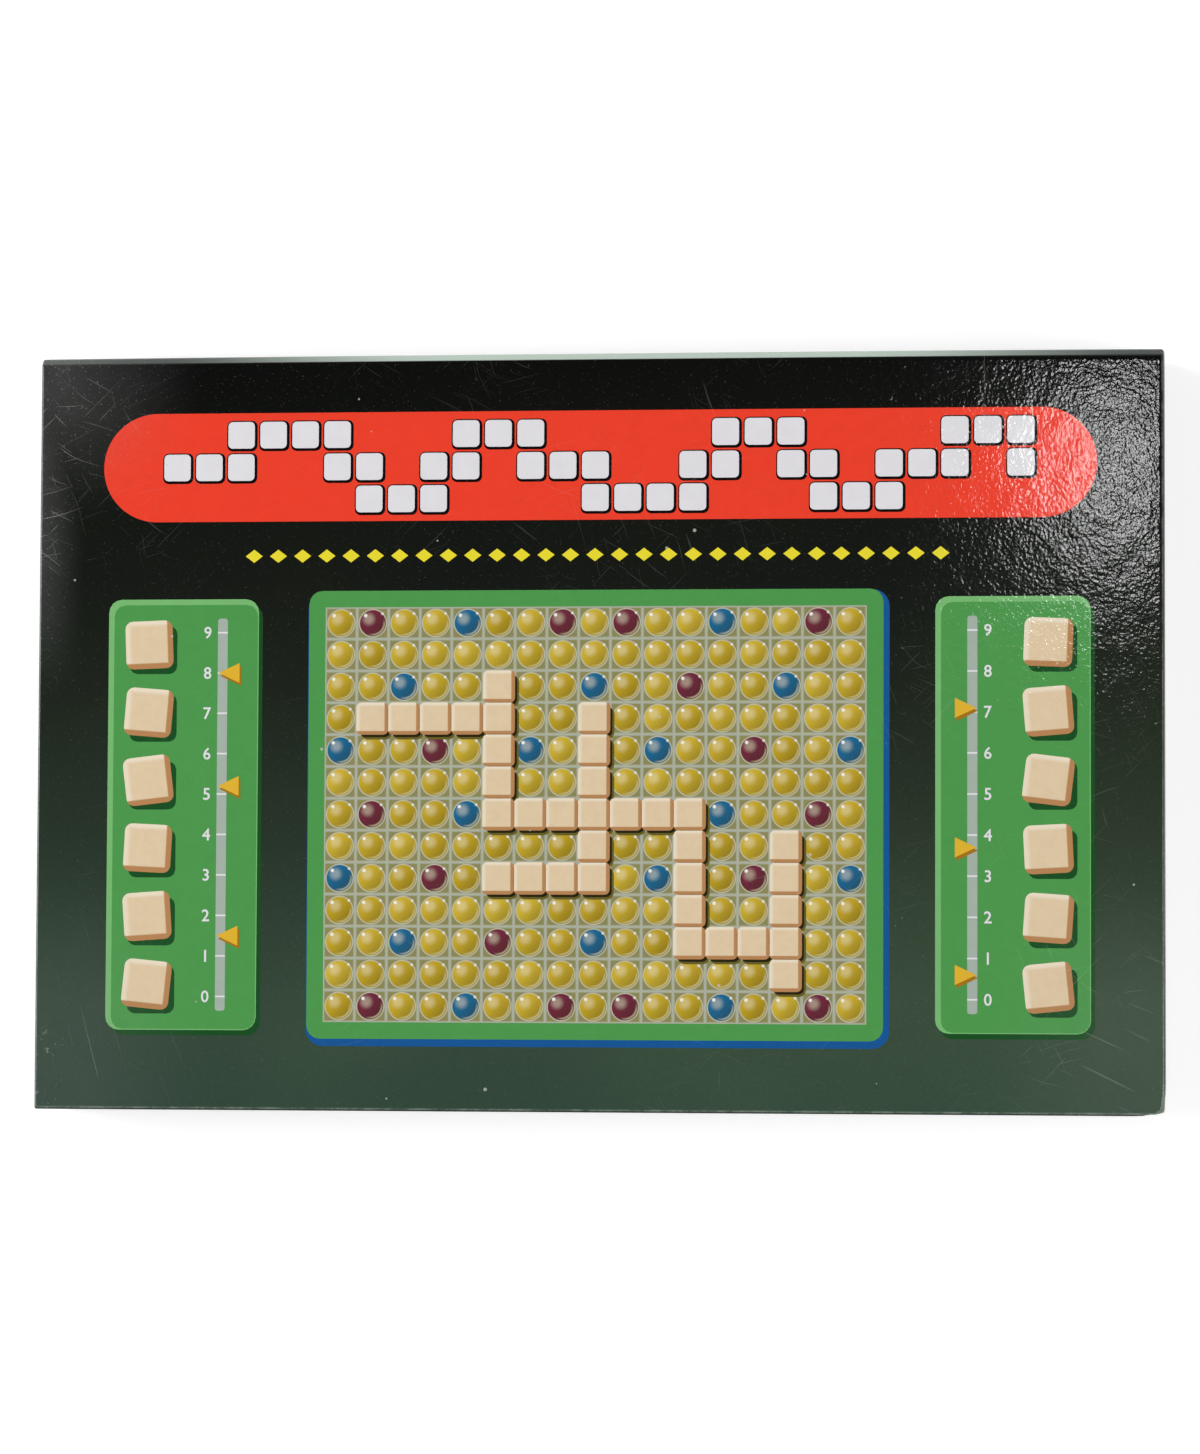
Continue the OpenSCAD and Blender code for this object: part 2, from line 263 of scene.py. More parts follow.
def write(bm, text, centre, height, low, high, turn=0.0, weight=0.012):
    """Lays a letter or number flat, between two heights."""
    thick = high - low
    matrix = (Matrix.Translation((centre[0], centre[1], (low + high) / 2)) @ Matrix.Rotation(turn, 4, "Z")
              @ Matrix.Diagonal((height, height, thick, 1)))
    place(bm, sign(text, weight), matrix)


# ---------------------------------------------------------------- shader helpers

def srgb(red, green, blue):
    """A colour as shaders take it, from the usual 0 to 255 values."""
    def linear(value):
        value /= 255
        return value / 12.92 if value <= 0.04045 else ((value + 0.055) / 1.055) ** 2.4
    return (linear(red), linear(green), linear(blue), 1.0)


class Nodes:
    """Adds nodes to a tree. Each input is fed a plain value or another node's output."""

    def __init__(self, tree):
        self.tree = tree

    def feed(self, socket, value):
        if isinstance(value, bpy.types.NodeSocket):
            self.tree.links.new(value, socket)
        else:
            socket.default_value = value

    def add(self, kind, feeds, **settings):
        node = self.tree.nodes.new("ShaderNode" + kind)
        for key, value in settings.items():
            setattr(node, key, value)
        for socket, value in dict(feeds).items():
            self.feed(node.inputs[socket], value)
        return node

    def position(self):
        return self.add("TexCoord", {}).outputs["Object"]

    def axes(self, vector):
        return self.add("SeparateXYZ", {0: vector}).outputs

    def vector(self, x, y, z):
        return self.add("CombineXYZ", {0: x, 1: y, 2: z}).outputs[0]

    def math(self, operation, *values):
        return self.add("Math", enumerate(values), operation=operation).outputs[0]

    def times(self, first, second):
        return self.math("MULTIPLY", first, second)

    def plus(self, first, second):
        return self.math("ADD", first, second)

    def minus(self, first, second):
        return self.math("SUBTRACT", first, second)

    def size(self, value):
        """A number without its sign."""
        return self.math("ABSOLUTE", value)

    def apart(self, first, second):
        """How far apart two numbers are."""
        return self.size(self.minus(first, second))

    def vector_math(self, operation, *values):
        node = self.add("VectorMath", enumerate(values), operation=operation)
        return node.outputs["Value" if operation in ("LENGTH", "DOT_PRODUCT") else "Vector"]

    def noise(self, vector, scale, detail=2.0, roughness=0.5):
        feeds = {"Vector": vector, "Scale": scale, "Detail": detail, "Roughness": roughness}
        return self.add("TexNoise", feeds).outputs["Fac"]

    def cells(self, vector, scale, feature="F1"):
        return self.add("TexVoronoi", {"Vector": vector, "Scale": scale}, feature=feature).outputs

    def offset(self, point, origin):
        """Where a point lies, counted from another."""
        return self.vector_math("SUBTRACT", point, origin)

    def distance(self, point, origin):
        return self.vector_math("LENGTH", self.offset(point, origin))

    def chance(self, vector):
        return self.add("TexWhiteNoise", {"Vector": vector}).outputs["Value"]

    def turned(self, vector, angle, scale):
        """A vector turned about Z, then stretched along each axis."""
        feeds = {"Vector": vector, "Angle": angle}
        around = self.add("VectorRotate", feeds, rotation_type="Z_AXIS").outputs[0]
        return self.vector_math("MULTIPLY", around, scale)

    def step(self, value, low, high):
        """0 below low, 1 above high and smooth between. With low above high it falls."""
        feeds = {"Value": value, "From Min": low, "From Max": high}
        return self.add("MapRange", feeds, interpolation_type="SMOOTHSTEP").outputs[0]

    def scaled(self, value, low, high):
        """A 0 to 1 value as one from low to high."""
        return self.add("MapRange", {"Value": value, "To Min": low, "To Max": high}).outputs[0]

    def mix(self, factor, first, second, blend="MIX"):
        feeds = {0: factor, 6: first, 7: second}
        return self.add("Mix", feeds, data_type="RGBA", blend_type=blend).outputs[2]

    def blend(self, factor, first, second):
        """A number between two others."""
        return self.add("Mix", {0: factor, 2: first, 3: second}, data_type="FLOAT").outputs[0]

    def most(self, *values):
        result = values[0]
        for value in values[1:]:
            result = self.math("MAXIMUM", result, value)
        return result

    def use(self, group, **feeds):
        node = self.tree.nodes.new("ShaderNodeGroup")
        node.node_tree = group
        for socket, value in feeds.items():
            self.feed(node.inputs[socket.replace("_", " ")], value)
        return node.outputs

    def bump(self, height, distance, strength=1.0):
        return self.add("Bump", {"Height": height, "Distance": distance, "Strength": strength}).outputs[0]


def effect(name, inputs, outputs, build):
    """A shader node group with named inputs and outputs, built once."""
    tree = bpy.data.node_groups.new(name, "ShaderNodeTree")
    for socket, kind in inputs.items():
        tree.interface.new_socket(socket, in_out="INPUT", socket_type="NodeSocket" + kind)
    for socket, kind in outputs.items():
        tree.interface.new_socket(socket, in_out="OUTPUT", socket_type="NodeSocket" + kind)
    entry = tree.nodes.new("NodeGroupInput").outputs
    leave = tree.nodes.new("NodeGroupOutput").inputs
    for socket, value in build(Nodes(tree), entry).items():
        tree.links.new(value, leave[socket])
    return tree


def new_material(name):
    """An empty material, its nodes and its surface shader."""
    material = bpy.data.materials.new(name)
    material.use_nodes = True
    nodes = Nodes(material.node_tree)
    return material, nodes, material.node_tree.nodes["Principled BSDF"]


def set_surface(nodes, shader, **values):
    """Feeds the surface shader's inputs: Base_Color, Roughness, Normal and so on."""
    for socket, value in values.items():
        nodes.feed(shader.inputs[socket.replace("_", " ")], value)


# ---------------------------------------------------------------- effects that materials share

def build_laminate(nodes, entry):
    """Gloss film over print: orange peel, slow waves, hairline scratches in a few directions, and dust."""
    position = entry["Position"]
    peel = nodes.noise(position, 950, 1.5, 0.5)
    slow = nodes.noise(position, 150, 1.0, 0.5)
    height = nodes.plus(peel, nodes.times(slow, 1.5))
    bend = nodes.times(nodes.noise(position, 34, 1.0, 0.4), 9 * MM)
    bent = nodes.vector_math("ADD", position, nodes.vector(bend, bend, 0.0))
    lines = []
    for angle, least in ((0.5, 0.735), (1.25, 0.74), (2.35, 0.735), (2.9, 0.745)):
        streak = nodes.noise(nodes.turned(bent, angle, (52, 3000, 52)), 1.0, 1.0, 0.4)
        lines.append(nodes.step(streak, least, least + 0.02))
    patches = nodes.step(nodes.noise(position, 21, 1.0, 0.5), 0.47, 0.68)
    scratches = nodes.times(nodes.most(*lines), patches)
    spots = nodes.cells(position, 190)
    size = nodes.times(nodes.math("POWER", nodes.chance(spots["Color"]), 14.0), 0.11)
    dust = nodes.step(nodes.minus(size, spots["Distance"]), 0.0, 0.012)
    return {"Height": height, "Scratches": scratches, "Dust": dust}


def build_fibres(nodes, entry):
    """Paper board: cloudy pulp, short fibres and a few darker flecks."""
    position = entry["Position"]
    cloud = nodes.noise(position, 130, 3.0, 0.6)
    strands = nodes.noise(nodes.turned(position, 0.6, (420, 1500, 900)), 1.0, 2.0, 0.6)
    crossing = nodes.noise(nodes.turned(position, -0.9, (420, 1500, 900)), 1.0, 2.0, 0.6)
    height = nodes.plus(strands, crossing)
    spots = nodes.cells(nodes.turned(position, 1.1, (300, 900, 500)), 1.0)
    flecks = nodes.step(nodes.minus(nodes.chance(spots["Color"]), spots["Distance"]), 0.86, 0.93)
    return {"Shade": cloud, "Height": height, "Flecks": flecks}


def build_moulded(nodes, entry):
    """Moulded plastic: slow flow marks, a faint texture from the tool, and handling scuffs."""
    position = entry["Position"]
    flow = nodes.noise(position, 45)
    grain = nodes.noise(position, 2600, 2.0, 0.6)
    dents = nodes.noise(position, 260)
    height = nodes.plus(nodes.times(grain, 0.5), dents)
    streak = nodes.noise(nodes.turned(position, 0.8, (90, 2600, 300)), 1.0, 1.0, 0.4)
    other = nodes.noise(nodes.turned(position, 2.2, (90, 2600, 300)), 1.0, 1.0, 0.4)
    scuffs = nodes.times(nodes.step(nodes.most(streak, other), 0.69, 0.72),
                         nodes.step(nodes.noise(position, 90, 1.0, 0.5), 0.45, 0.65))
    return {"Shade": flow, "Height": height, "Scuffs": scuffs}


def build_rub(nodes, entry):
    """Wear along the folds of a box: strongest where two of its walls meet. Its ridge is a line just inside
    the folds, partly wear and partly a painted highlight.
    """
    x, y, z = (nodes.size(axis) for axis in nodes.axes(nodes.offset(entry["Position"], entry["Centre"])))
    half = nodes.axes(entry["Half"])
    gaps = [nodes.apart(half[i], axis) for i, axis in enumerate((x, y, z))]
    low = nodes.math("MINIMUM", gaps[0], gaps[1])
    high = nodes.most(gaps[0], gaps[1])
    second = nodes.most(low, nodes.math("MINIMUM", high, gaps[2]))
    ragged = nodes.times(nodes.noise(entry["Position"], 700, 4.0, 0.7), entry["Reach"])
    near = nodes.step(nodes.minus(second, ragged), entry["Reach"], 0.0)
    broken = nodes.step(nodes.noise(entry["Position"], 210, 5.0, 0.75), 0.3, 0.7)
    inset = nodes.apart(second, nodes.times(entry["Reach"], 0.75))
    # A line just inside the fold: partly worn paper, partly a painted highlight.
    ridge_wear_and_highlight = nodes.step(inset, nodes.times(entry["Reach"], 0.45), nodes.times(entry["Reach"], 0.1))
    return {"Rubbed": nodes.times(near, nodes.scaled(broken, 0.4, 1.0)),
            "Ridge wear and highlight": nodes.times(ridge_wear_and_highlight, broken)}


def build_seam(nodes, entry):
    """The cut edge of the paper on a box's short walls, just round the corner from its long walls."""
    x, y, _ = nodes.axes(nodes.offset(entry["Position"], entry["Centre"]))
    half = nodes.axes(entry["Half"])
    short = nodes.step(nodes.size(x), nodes.minus(half[0], 0.8 * MM), nodes.minus(half[0], 0.5 * MM))
    wander = nodes.times(nodes.noise(entry["Position"], 90), 0.3 * MM)
    gap = nodes.minus(nodes.minus(half[1], nodes.size(y)), 1.5 * MM)
    gap = nodes.plus(gap, wander)
    line = nodes.step(nodes.size(gap), 0.16 * MM, 0.06 * MM)
    flap = nodes.step(gap, 0.05 * MM, -0.05 * MM)
    return {"Line": nodes.times(line, short), "Flap": nodes.times(flap, short)}


def build_squares(nodes, entry):
    """A grid of squares in three colours: rings of diamonds round the middle."""
    local = nodes.offset(entry["Position"], entry["Centre"])
    x, y, _ = (nodes.math("DIVIDE", axis, entry["Pitch"]) for axis in nodes.axes(local))
    column, row = nodes.math("ROUND", x), nodes.math("ROUND", y)
    across, up = nodes.minus(x, column), nodes.minus(y, row)
    steps = nodes.plus(nodes.size(column), nodes.size(row))
    ring = nodes.math("MODULO", nodes.plus(steps, 1.0), 6.0)
    pair = nodes.math("MODULO", nodes.plus(nodes.size(column), 1.0), 2.0)
    blue = nodes.times(nodes.math("COMPARE", ring, 5.0, 0.3), nodes.math("COMPARE", pair, 1.0, 0.3))
    maroon = nodes.times(nodes.math("COMPARE", ring, 2.0, 0.3), nodes.math("COMPARE", pair, 0.0, 0.3))
    return {"Offset": nodes.vector(across, up, 0.0), "Blue": blue, "Maroon": maroon,
            "Chance": nodes.chance(nodes.vector(column, row, 0.0))}


LAMINATE = effect("Gloss laminate", {"Position": "Vector"},
                  {"Height": "Float", "Scratches": "Float", "Dust": "Float"}, build_laminate)
FIBRES = effect("Board fibres", {"Position": "Vector"},
                {"Shade": "Float", "Height": "Float", "Flecks": "Float"}, build_fibres)
MOULDED = effect("Moulded plastic", {"Position": "Vector"},
                 {"Shade": "Float", "Height": "Float", "Scuffs": "Float"}, build_moulded)
RUB = effect("Rubbed folds", {"Position": "Vector", "Centre": "Vector", "Half": "Vector", "Reach": "Float"},
             {"Rubbed": "Float", "Ridge wear and highlight": "Float"}, build_rub)
SEAM = effect("Paper seam", {"Position": "Vector", "Centre": "Vector", "Half": "Vector"},
              {"Line": "Float", "Flap": "Float"}, build_seam)
SQUARES = effect("Coloured squares", {"Position": "Vector", "Centre": "Vector", "Pitch": "Float"},
                 {"Offset": "Vector", "Blue": "Float", "Maroon": "Float", "Chance": "Float"}, build_squares)


# ---------------------------------------------------------------- the lid's print

LID_CENTRE = (LID_LOW + LID_HIGH) / 2
FAN = Vector((-196 * MM, 70 * MM, 0))
PANEL_CENTRE = Vector((0, -25 * MM, 0))
PANEL_PITCH = 9.6 * MM
PANEL_COLUMNS, PANEL_ROWS = 17, 13
PANEL_SIZE = Vector((PANEL_COLUMNS * PANEL_PITCH, PANEL_ROWS * PANEL_PITCH))
PANEL_BORDER = 5 * MM
BAND_CENTRE = Vector((0, 80 * MM))
BAND_SIZE = Vector((300 * MM, 33 * MM))
BAND_PITCH = 9.8 * MM
SIDE_X = 125 * MM
SIDE_SIZE = Vector((46 * MM, 130 * MM))


def build_lid_wear(nodes, entry):
    """Scratches by one corner, scuffs and a crease from handling; a grey haze by one corner and along the
    sides, partly scuffed film and partly a painted sheen; a painted reflection on the back fold; painted
    shade along the other folds.
    """
    position = entry["Position"]
    x, y, z = nodes.axes(position)
    across, up, _ = nodes.axes(nodes.offset(position, FAN))
    distance = nodes.vector_math("LENGTH", nodes.vector(across, up, 0.0))
    angle = nodes.math("ARCTAN2", up, across)
    ray = nodes.vector(nodes.times(angle, 260.0), nodes.times(distance, 16.0), 0.0)
    rays = nodes.step(nodes.noise(ray, 1.0, 2.0, 0.6), 0.66, 0.7)
    corner = nodes.times(nodes.step(x, -118 * MM, -168 * MM), nodes.step(y, 62 * MM, 106 * MM))
    edge = nodes.times(nodes.step(x, -155 * MM, -171 * MM), nodes.step(y, 5 * MM, 50 * MM))
    cloud = nodes.scaled(nodes.noise(position, 60, 5.0, 0.7), 0.35, 1.0)
    low = nodes.times(nodes.step(nodes.size(x), 112 * MM, 160 * MM), nodes.step(y, -38 * MM, -92 * MM))
    # Grey mixed into the print here is partly the haze of scuffed film and partly a painted sheen of
    # reflected light.
    haze_and_sheen = nodes.times(nodes.most(corner, edge, nodes.times(low, 0.6)), cloud)
    fan = nodes.times(rays, nodes.times(haze_and_sheen, 0.8))
    chips = nodes.step(nodes.noise(position, 300, 4.0, 0.75), 0.6, 0.66)
    low_left = nodes.times(nodes.step(x, -158 * MM, -168 * MM), nodes.step(y, -84 * MM, -100 * MM))
    low_right = nodes.times(nodes.step(x, 160 * MM, 169 * MM), nodes.step(y, -100 * MM, -112 * MM))
    scuffs = nodes.times(chips, nodes.most(low_left, low_right))
    grit = nodes.step(nodes.noise(position, 1500, 2.0, 0.6), 0.66, 0.71)
    specks = nodes.times(grit, nodes.scaled(nodes.most(corner, edge), 0.12, 0.75))
    crease_x = nodes.plus(x, nodes.times(nodes.noise(position, 60, 1.0, 0.5), 0.8 * MM))
    crease = nodes.times(nodes.step(nodes.apart(crease_x, 117 * MM), 0.16 * MM, 0.06 * MM),
                         nodes.step(y, 94 * MM, 104 * MM))
    crease = nodes.times(crease, nodes.step(z, FACE - 2 * MM, FACE - 1 * MM))
    # A pale strip along the middle of the back fold: a painted reflection of light off the bowed fold.
    bowed = nodes.times(nodes.step(y, LID_HALF.y - 2.15 * MM, LID_HALF.y - 1.85 * MM),
                        nodes.step(z, FACE - 6 * MM, FACE - 3 * MM))
    ends = nodes.step(nodes.size(nodes.plus(x, -15 * MM)), 150 * MM, 60 * MM)
    pale = nodes.times(bowed, nodes.scaled(ends, 0.12, 1.0))
    lines = nodes.most(fan, scuffs, specks, nodes.times(crease, 0.2))
    # Painted shade: the side and front folds are darkened to near black where they turn away.
    side_fold = nodes.step(nodes.size(x), LID_HALF.x - 0.85 * MM, LID_HALF.x - 0.6 * MM)
    front_fold = nodes.step(y, 0.5 * MM - LID_HALF.y, 0.3 * MM - LID_HALF.y)
    fold = nodes.times(nodes.most(side_fold, front_fold), nodes.step(z, FACE - 1.6 * MM, FACE - 0.8 * MM))
    return {"Haze and sheen": haze_and_sheen, "Lines": lines, "Pale": pale, "Fold shade": fold}


# This group paints light as well as wear: a sheen, a reflection on the back fold and shade on the other
# folds.
LID_WEAR_AND_LIGHT = effect("Lid wear", {"Position": "Vector"},
                  {"Haze and sheen": "Float", "Lines": "Float", "Pale": "Float", "Fold shade": "Float"}, build_lid_wear)


def laminated(nodes, shader, position, colour, gloss=0.07):
    """Finishes a printed colour of the lid with its laminate, its wear, its rubbed folds and painted light: a
    grey sheen, highlight lines inside the folds, painted shade on the folds and a painted reflection on the
    back fold.
    """
    film = nodes.use(LAMINATE, Position=position)
    wear_and_light = nodes.use(LID_WEAR_AND_LIGHT, Position=position)
    half = (LID_HIGH - LID_LOW) / 2
    rub = nodes.use(RUB, Position=position, Centre=LID_CENTRE, Reach=0.9 * MM, Half=half)
    seam = nodes.use(SEAM, Position=position, Centre=LID_CENTRE, Half=half)
    # Grey where the haze mask lies: partly scuffed film, partly a painted sheen.
    hazed_and_sheened = nodes.mix(nodes.times(wear_and_light["Haze and sheen"], 0.18), colour, srgb(150, 152, 150))
    scratched = nodes.times(film["Scratches"], nodes.scaled(wear_and_light["Haze and sheen"], 0.07, 0.75))
    marks = nodes.most(scratched, nodes.times(film["Dust"], 0.6), nodes.times(wear_and_light["Lines"], 0.45))
    marked = nodes.mix(marks, hazed_and_sheened, srgb(200, 200, 196))
    # Light lines: rubbed folds and the paper's seam are wear; the line inside each fold is partly wear and
    # partly a painted highlight.
    rubbed = nodes.most(nodes.times(rub["Rubbed"], 0.08), nodes.times(rub["Ridge wear and highlight"], 0.5),
                        nodes.times(seam["Line"], 0.7))
    worn_and_lit = nodes.mix(rubbed, marked, srgb(160, 172, 160))
    # Painted shade: the folds darkened to near black.
    fold_shaded = nodes.mix(nodes.times(wear_and_light["Fold shade"], 0.85), worn_and_lit, srgb(8, 11, 9))
    # Painted reflection: the pale strip along the back fold.
    pale = nodes.mix(nodes.times(wear_and_light["Pale"], 0.95), fold_shaded, srgb(206, 224, 211))
    dull = nodes.most(nodes.times(wear_and_light["Haze and sheen"], 0.22), nodes.times(rub["Rubbed"], 0.3),
                      nodes.times(film["Dust"], 0.5), nodes.times(wear_and_light["Fold shade"], 0.5))
    height = nodes.plus(film["Height"], nodes.times(seam["Flap"], 1.5))
    set_surface(nodes, shader, Base_Color=pale, Roughness=nodes.plus(dull, gloss),
                Normal=nodes.bump(height, 0.036 * MM))


def lid_ink(name, colour):
    """One flat printed colour of the lid."""
    material, nodes, shader = new_material(name)
    position = nodes.position()
    blotch = nodes.noise(position, 240, 3.0, 0.6)
    darker = tuple(0.9 * value for value in colour[:3]) + (1.0,)
    laminated(nodes, shader, position, nodes.mix(blotch, darker, colour))
    return material


def lid_ground(name, gloss):
    """The dark ground of the print: near black at the top and deep green at the bottom."""
    material, nodes, shader = new_material(name)
    position = nodes.position()
    _, y, _ = nodes.axes(position)
    down = nodes.math("DIVIDE", nodes.minus(LID_HALF.y, y), 2 * LID_HALF.y)
    ramp = nodes.add("ValToRGB", {"Fac": down})
    stops = ((0.0, (12, 13, 12)), (0.3, (23, 26, 22)), (0.45, (33, 40, 32)), (0.65, (46, 60, 48)),
             (0.85, (60, 80, 65)), (1.0, (57, 79, 66)))
    elements = ramp.color_ramp.elements
    elements[0].position, elements[0].color = stops[0][0], srgb(*stops[0][1])
    elements[1].position, elements[1].color = stops[-1][0], srgb(*stops[-1][1])
    for at, colour in stops[1:-1]:
        elements.new(at).color = srgb(*colour)
    lighter = nodes.mix(1.0, ramp.outputs["Color"], (1.28, 1.24, 1.12, 1.0), "MULTIPLY")
    cloud = nodes.mix(nodes.step(nodes.noise(position, 9), 0.4, 0.7), ramp.outputs["Color"], lighter)
    screen = nodes.noise(position, 900, 2.0, 0.6)
    printed = nodes.mix(nodes.scaled(screen, 0.0, 0.2), cloud, srgb(12, 18, 13))
    laminated(nodes, shader, position, printed, gloss)
    return material


def lid_mosaic():
    """A printed picture of domed squares, seen from straight above."""
    material, nodes, shader = new_material("lid_mosaic")
    position = nodes.position()
    grid = nodes.use(SQUARES, Position=position, Centre=PANEL_CENTRE, Pitch=PANEL_PITCH)
    across, up, _ = nodes.axes(grid["Offset"])
    radius = nodes.vector_math("LENGTH", grid["Offset"])
    edge = nodes.most(nodes.size(across), nodes.size(up))
    yellow = nodes.mix(grid["Chance"], srgb(196, 165, 38), srgb(216, 186, 58))
    colour = nodes.mix(grid["Blue"], yellow, srgb(30, 108, 150))
    colour = nodes.mix(grid["Maroon"], colour, srgb(118, 44, 64))
    ground = nodes.mix(nodes.step(edge, 0.43, 0.48), srgb(146, 142, 92), srgb(180, 184, 166))
    lit = nodes.plus(nodes.times(across, -0.7), nodes.times(up, 0.7))
    shade = nodes.mix(nodes.step(lit, -0.45, 0.3), nodes.mix(0.45, colour, srgb(48, 46, 26)), colour)
    body = nodes.mix(nodes.step(radius, 0.43, 0.41), ground, shade)
    rim = nodes.step(nodes.apart(radius, 0.43), 0.028, 0.008)
    rimmed = nodes.mix(nodes.times(rim, 0.65), body, srgb(214, 216, 200))
    light = nodes.distance(grid["Offset"], Vector((-0.13, 0.13, 0)))
    glow = nodes.mix(nodes.times(nodes.step(light, 0.27, 0.05), 0.3), rimmed, srgb(250, 246, 214))
    arc = nodes.times(nodes.step(nodes.apart(radius, 0.36), 0.05, 0.01), nodes.step(lit, -0.12, -0.34))
    bounced = nodes.mix(nodes.times(arc, 0.4), glow, srgb(240, 234, 180))
    spark = nodes.distance(grid["Offset"], Vector((-0.23, 0.24, 0)))
    glint = nodes.distance(grid["Offset"], Vector((0.3, 0.3, 0)))
    glints = nodes.most(nodes.step(spark, 0.075, 0.03), nodes.times(nodes.step(glint, 0.06, 0.02), 0.8))
    finished = nodes.mix(glints, bounced, srgb(250, 250, 242))
    laminated(nodes, shader, position, finished)
    return material


def printed_tile(name, face, edge):
    """A picture of a tile, from the piece's own UV map: a pale face and darker lower right edges."""
    material, nodes, shader = new_material(name)
    position = nodes.position()
    u, v, _ = nodes.axes(nodes.add("UVMap", {}, uv_map="Tile").outputs[0])
    right, low = nodes.step(u, 0.87, 0.9), nodes.step(v, 0.13, 0.1)
    side = nodes.most(right, low)
    grain = nodes.noise(position, 420, 3.0, 0.6)
    top = nodes.mix(nodes.scaled(grain, 0.0, 0.5), srgb(*face), srgb(214, 184, 148))
    shine = nodes.times(nodes.step(u, 0.16, 0.05), 0.6)
    upper = nodes.times(nodes.step(v, 0.86, 0.96), 0.7)
    top = nodes.mix(nodes.most(shine, upper), top, srgb(250, 240, 218))
    laminated(nodes, shader, position, nodes.mix(side, top, srgb(*edge)))
    return material


def lid_walls():
    """The same print on the lid's walls, dulled by handling."""
    material = lid_ground("lid_walls", 0.4)
    material.node_tree.nodes["Principled BSDF"].inputs["Specular IOR Level"].default_value = 0.15
    return material


LID_COLOURS = {
    "red": (252, 70, 48), "white": (240, 238, 242), "outline": (14, 12, 12), "diamond": (248, 232, 58),
    "green": (84, 162, 84), "green_light": (128, 196, 122), "green_dark": (30, 84, 40), "blue": (28, 92, 158),
    "slot": (176, 190, 178), "pointer": (238, 190, 56), "pointer_dark": (176, 122, 28),
    "shadow": (44, 40, 20), "shade": (112, 102, 44),
}


def tile_picture():
    """One printed tile, a unit square, with its UV map."""
    bm = bmesh.new()
    slab(bm, (0, 0), (1, 1), -0.5, 0.5, 0.16, 4)
    layer = bm.loops.layers.uv.new("Tile")
    for face in bm.faces:
        for loop in face.loops:
            loop[layer].uv = (loop.vert.co.x + 0.5, loop.vert.co.y + 0.5)
    return as_mesh(bm, "tile_picture")


class Print:
    """The lid's print: one thin mesh for each colour, each layer a little above the one before."""

    def __init__(self):
        self.meshes = {}

    def ink(self, colour):
        if colour not in self.meshes:
            self.meshes[colour] = bmesh.new()
        return self.meshes[colour]

    def plate(self, colour, layer, centre, size, radius):
        segments = max(3, round(radius / MM))
        slab(self.ink(colour), centre, size, FACE - INK, FACE + layer * INK, radius, segments)

    def outline(self, colour, layer, corners):
        prism(self.ink(colour), corners, FACE - INK, FACE + layer * INK)

    def digit(self, colour, layer, text, centre, height):
        write(self.ink(colour), text, centre, height, FACE - INK, FACE + layer * INK)

    def tile(self, layer, centre, size, turn=0.0):
        """A blank tile with its dark outline."""
        matrix = Matrix.Translation((centre[0], centre[1], FACE + (layer - 1) * INK / 2))
        matrix = matrix @ Matrix.Rotation(turn, 4, "Z")
        place(self.ink("tiles"), TILE_PICTURE, matrix @ Matrix.Diagonal((size, size, (layer + 1) * INK, 1)))


TILE_PICTURE = tile_picture()


def band(art):
    """A red band with round ends, and a track of white squares that steps up and down along it."""
    art.plate("red", 1, BAND_CENTRE, BAND_SIZE, BAND_SIZE.y * 0.499)
    rows = [0, 0, 1, 1, 1, 0, -1, -1, 0, 1, 1, 0, 0, -1, -1, -1, 0, 1, 1, 0, -1, -1, 0, 0, 1, 1, 0]
    squares = set()
    for column, row in enumerate(rows):
        squares.add((column, row))
        if column and rows[column - 1] != row:
            squares.add((column, rows[column - 1]))
    for column, row in sorted(squares):
        x = BAND_CENTRE.x + (column - (len(rows) - 1) / 2) * BAND_PITCH
        y = BAND_CENTRE.y + row * BAND_PITCH
        art.plate("outline", 2, (x + 0.25 * MM, y - 0.25 * MM), (BAND_PITCH - 0.5 * MM,) * 2, 1.7 * MM)
        art.plate("white", 3, (x, y), (BAND_PITCH - 1.7 * MM,) * 2, 1.3 * MM)


def diamonds(art):
    """A line of small yellow diamonds under the band."""
    pitch, wide, tall, y = 7.4 * MM, 2.6 * MM, 2.0 * MM, 53 * MM
    for i in range(-14, 15):
        x = i * pitch
        art.outline("diamond", 2, [(x - wide, y), (x, y - tall), (x + wide, y), (x, y + tall)])


def panel(art):
    """The mosaic with its green border and thin blue edge, and blank tiles laid across it."""
    border = Vector((2 * PANEL_BORDER,) * 2)
    blue_size = PANEL_SIZE + border + Vector((2 * MM,) * 2)
    art.plate("blue", 1, PANEL_CENTRE + Vector((0.8 * MM, -1.2 * MM, 0)), blue_size, 5 * MM)
    art.plate("green", 2, PANEL_CENTRE, PANEL_SIZE + border, 4 * MM)
    art.plate("mosaic", 3, PANEL_CENTRE, PANEL_SIZE, 0)
    runs = [((-7, 3), (1, 0), 5), ((-3, 4), (0, -1), 5), ((-3, 0), (1, 0), 7), ((0, 3), (0, -1), 6),
            ((3, 0), (0, -1), 5), ((0, -2), (-1, 0), 4), ((3, -4), (1, 0), 4), ((6, -1), (0, -1), 5)]
    squares = {(x + dx * i, y + dy * i) for (x, y), (dx, dy), count in runs for i in range(count)}
    for column, row in sorted(squares):
        x = PANEL_CENTRE.x + column * PANEL_PITCH
        y = PANEL_CENTRE.y + row * PANEL_PITCH
        art.plate("shade", 4, (x + 1.3 * MM, y - 1.5 * MM), (PANEL_PITCH,) * 2, 2 * MM)
        art.plate("shadow", 5, (x + 0.9 * MM, y - 1.0 * MM), (PANEL_PITCH - 0.4 * MM,) * 2, 1.6 * MM)
        art.tile(6, (x, y), PANEL_PITCH + 0.1 * MM)


